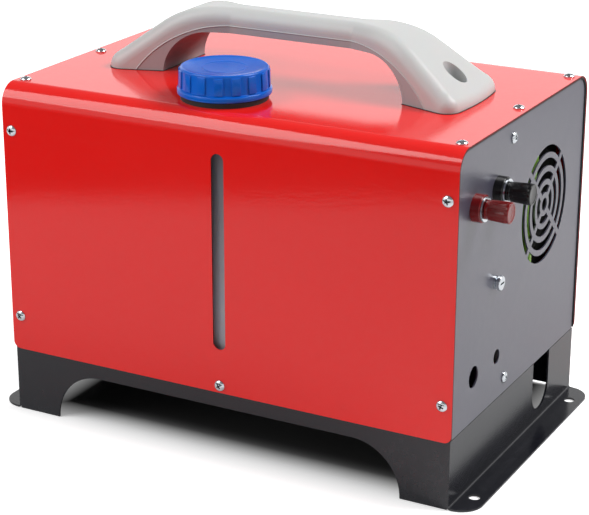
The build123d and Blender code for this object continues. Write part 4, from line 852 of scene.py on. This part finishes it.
def makePostKnobs():
    s = postKnob
    r = s["radius"]
    n = s["length"]
    neck = s["neck"]
    start, stop = s["fluteEnds"]
    inner = n - s["roof"] - 0.4
    profile = [
        (0, inner), (s["bore"], inner), (s["bore"], 0.6), (s["bore"] + 0.5, 0.0),
        (neck - 0.5, 0.0), (neck, 0.4), (neck - 0.25, start - 0.6), (neck + 0.1, start),
    ]
    slope = (r - neck) / (stop - start)
    step = (stop - start) / s["bands"]
    for band in range(1, s["bands"] + 1):      # rings for the wavy knurl, widening to the end
        profile.append((neck + 0.1 + slope * step * band * s["bandSpread"], start + step * band))
    profile.append((r, stop + 0.5))
    profile += [(r - inwards, n - down) for inwards, down in s["endEdge"]]
    profile.append((0, n - s["endDrop"]))
    knob = turned("postKnob", profile, s["flutes"] * 4)

    def inFlute(point, normal):
        pitch = 360 / s["flutes"]
        row = round((point.z * 1000 - start) / step)
        angle = math.degrees(math.atan2(point.y, point.x)) + (row % 2) * pitch / 2
        off = (angle + pitch / 2) % pitch - pitch / 2
        along = (start + 0.3) / 1000 < point.z < (stop + 0.3) / 1000
        return along and math.hypot(point.x, point.y) > 0.006 and abs(off) < 1

    pick(knob, inFlute, mode="VERT")
    shrink = (r - s["fluteDepth"]) / r
    bpy.ops.transform.resize(value=(shrink, shrink, 1), center_override=(0, 0, 0))
    bpy.ops.object.mode_set(mode="OBJECT")
    bevelled(knob, s["bevel"], 2, 20)
    for colour in ("red", "black"):
        node = colour + "_post_knob"
        twin = copied(knob, colour + "KnobFluted")
        middle, low = middleOf(node)
        seated(twin, (low[0], middle[1], middle[2]), (1, 0, 0), turn=s["turn"])
        smoothed(twin, 40)
        dressed(twin, "post_" + colour, colour + "_knob", node)
    binned(knob)


makePostKnobs()
print("post knobs ready")


# screws of the case, in millimetres
panScrew = {
    "radius": 4.3, "height": 2.4, "shank": 1.9, "length": 7.0, "threads": 7,
    # in from the radius, up from the seat
    "headEdge": [(0.25, 0.0), (0.0, 0.25), (0.0, 0.7), (0.3, 1.15), (0.8, 1.6), (1.5, 1.97), (2.3, 2.22),
                 (3.2, 2.36)],
    "steps": 28, "recessReach": 2.5, "recessWidth": 1.2, "recessDepth": 1.7, "recessFoot": (0.5, 0.7),
    "turnStep": 53,
}
screwPlaces = {
    # in metres; the same places as the holes of the cover and the end panels
    "halfX": 0.190, "halfY": 0.125, "top": 0.269, "base": 0.054, "endInset": 0.008,
    "upper": 0.0355, "lower": 0.0273, "middleUp": 0.005, "topInset": 0.0212,
    "panelX": 0.1888, "panelY": -0.0251, "panelLow": 0.013, "panelHigh": 0.015,
}


def caseScrewPlaces():
    p = screwPlaces
    screwX = p["halfX"] - p["endInset"]
    places = []
    for face in (-1, 1):
        for side in (-1, 1):
            for height in (p["top"] - p["upper"], p["base"] + p["lower"]):
                places.append(((side * screwX, face * p["halfY"], height), (0, face, 0)))
        places.append(((0, face * p["halfY"], p["base"] + p["middleUp"]), (0, face, 0)))
    for side in (-1, 1):
        for along in (-1, 0, 1):
            places.append(((side * screwX, along * (p["halfY"] - p["topInset"]), p["top"]), (0, 0, 1)))
        for height in (p["base"] + p["panelLow"], p["top"] - p["panelHigh"]):
            places.append(((side * p["panelX"], p["panelY"], height), (side, 0, 0)))
    return places


def makeCaseScrews():
    s = panScrew
    h = s["height"]
    shank, tip = s["shank"], -s["length"]
    profile = [(0, tip), (shank - 0.7, tip), (shank - 0.2, tip + 0.6)]
    pitch = (s["length"] - 1.2) / s["threads"]
    for turn in range(s["threads"]):
        foot = tip + 0.7 + pitch * turn
        profile += [(shank - 0.3, foot), (shank, foot + pitch * 0.45)]
    profile += [(shank - 0.3, -0.35), (shank - 0.3, 0.0)]
    profile += [(s["radius"] - inwards, up) for inwards, up in s["headEdge"]]
    profile.append((0, h))
    screw = turned("caseScrew", profile, s["steps"])
    clearSelection()
    bpy.ops.mesh.primitive_cube_add(size=0.002)
    cutter = bpy.context.object
    bpy.ops.object.mode_set(mode="EDIT")
    bpy.ops.transform.resize(value=(s["recessReach"], s["recessWidth"] / 2, s["recessDepth"] / 2))
    bpy.ops.transform.translate(value=(0, 0, (h - s["recessDepth"] / 2 + 0.1) / 1000))
    bpy.ops.object.mode_set(mode="OBJECT")
    pick(cutter, lambda centre, normal: normal.z < -0.5)
    bpy.ops.transform.resize(value=s["recessFoot"] + (1,))
    bpy.ops.object.mode_set(mode="OBJECT")
    for turn in (0, 90):
        seated(cutter, (0, 0, 0), turn=turn)
        applied(screw, "BOOLEAN", object=cutter, operation="DIFFERENCE", solver="EXACT")
    binned(cutter)
    tidyMesh(screw)
    for number, (place, direction) in enumerate(caseScrewPlaces()):
        twin = copied(screw, "panScrew_%02d" % number)
        seated(twin, place, direction, turn=(number * s["turnStep"]) % 90)
        smoothed(twin, 30)
        dressed(twin, "zinc", "case", "case_screws")
    binned(screw)


makeCaseScrews()
print("case screws ready")
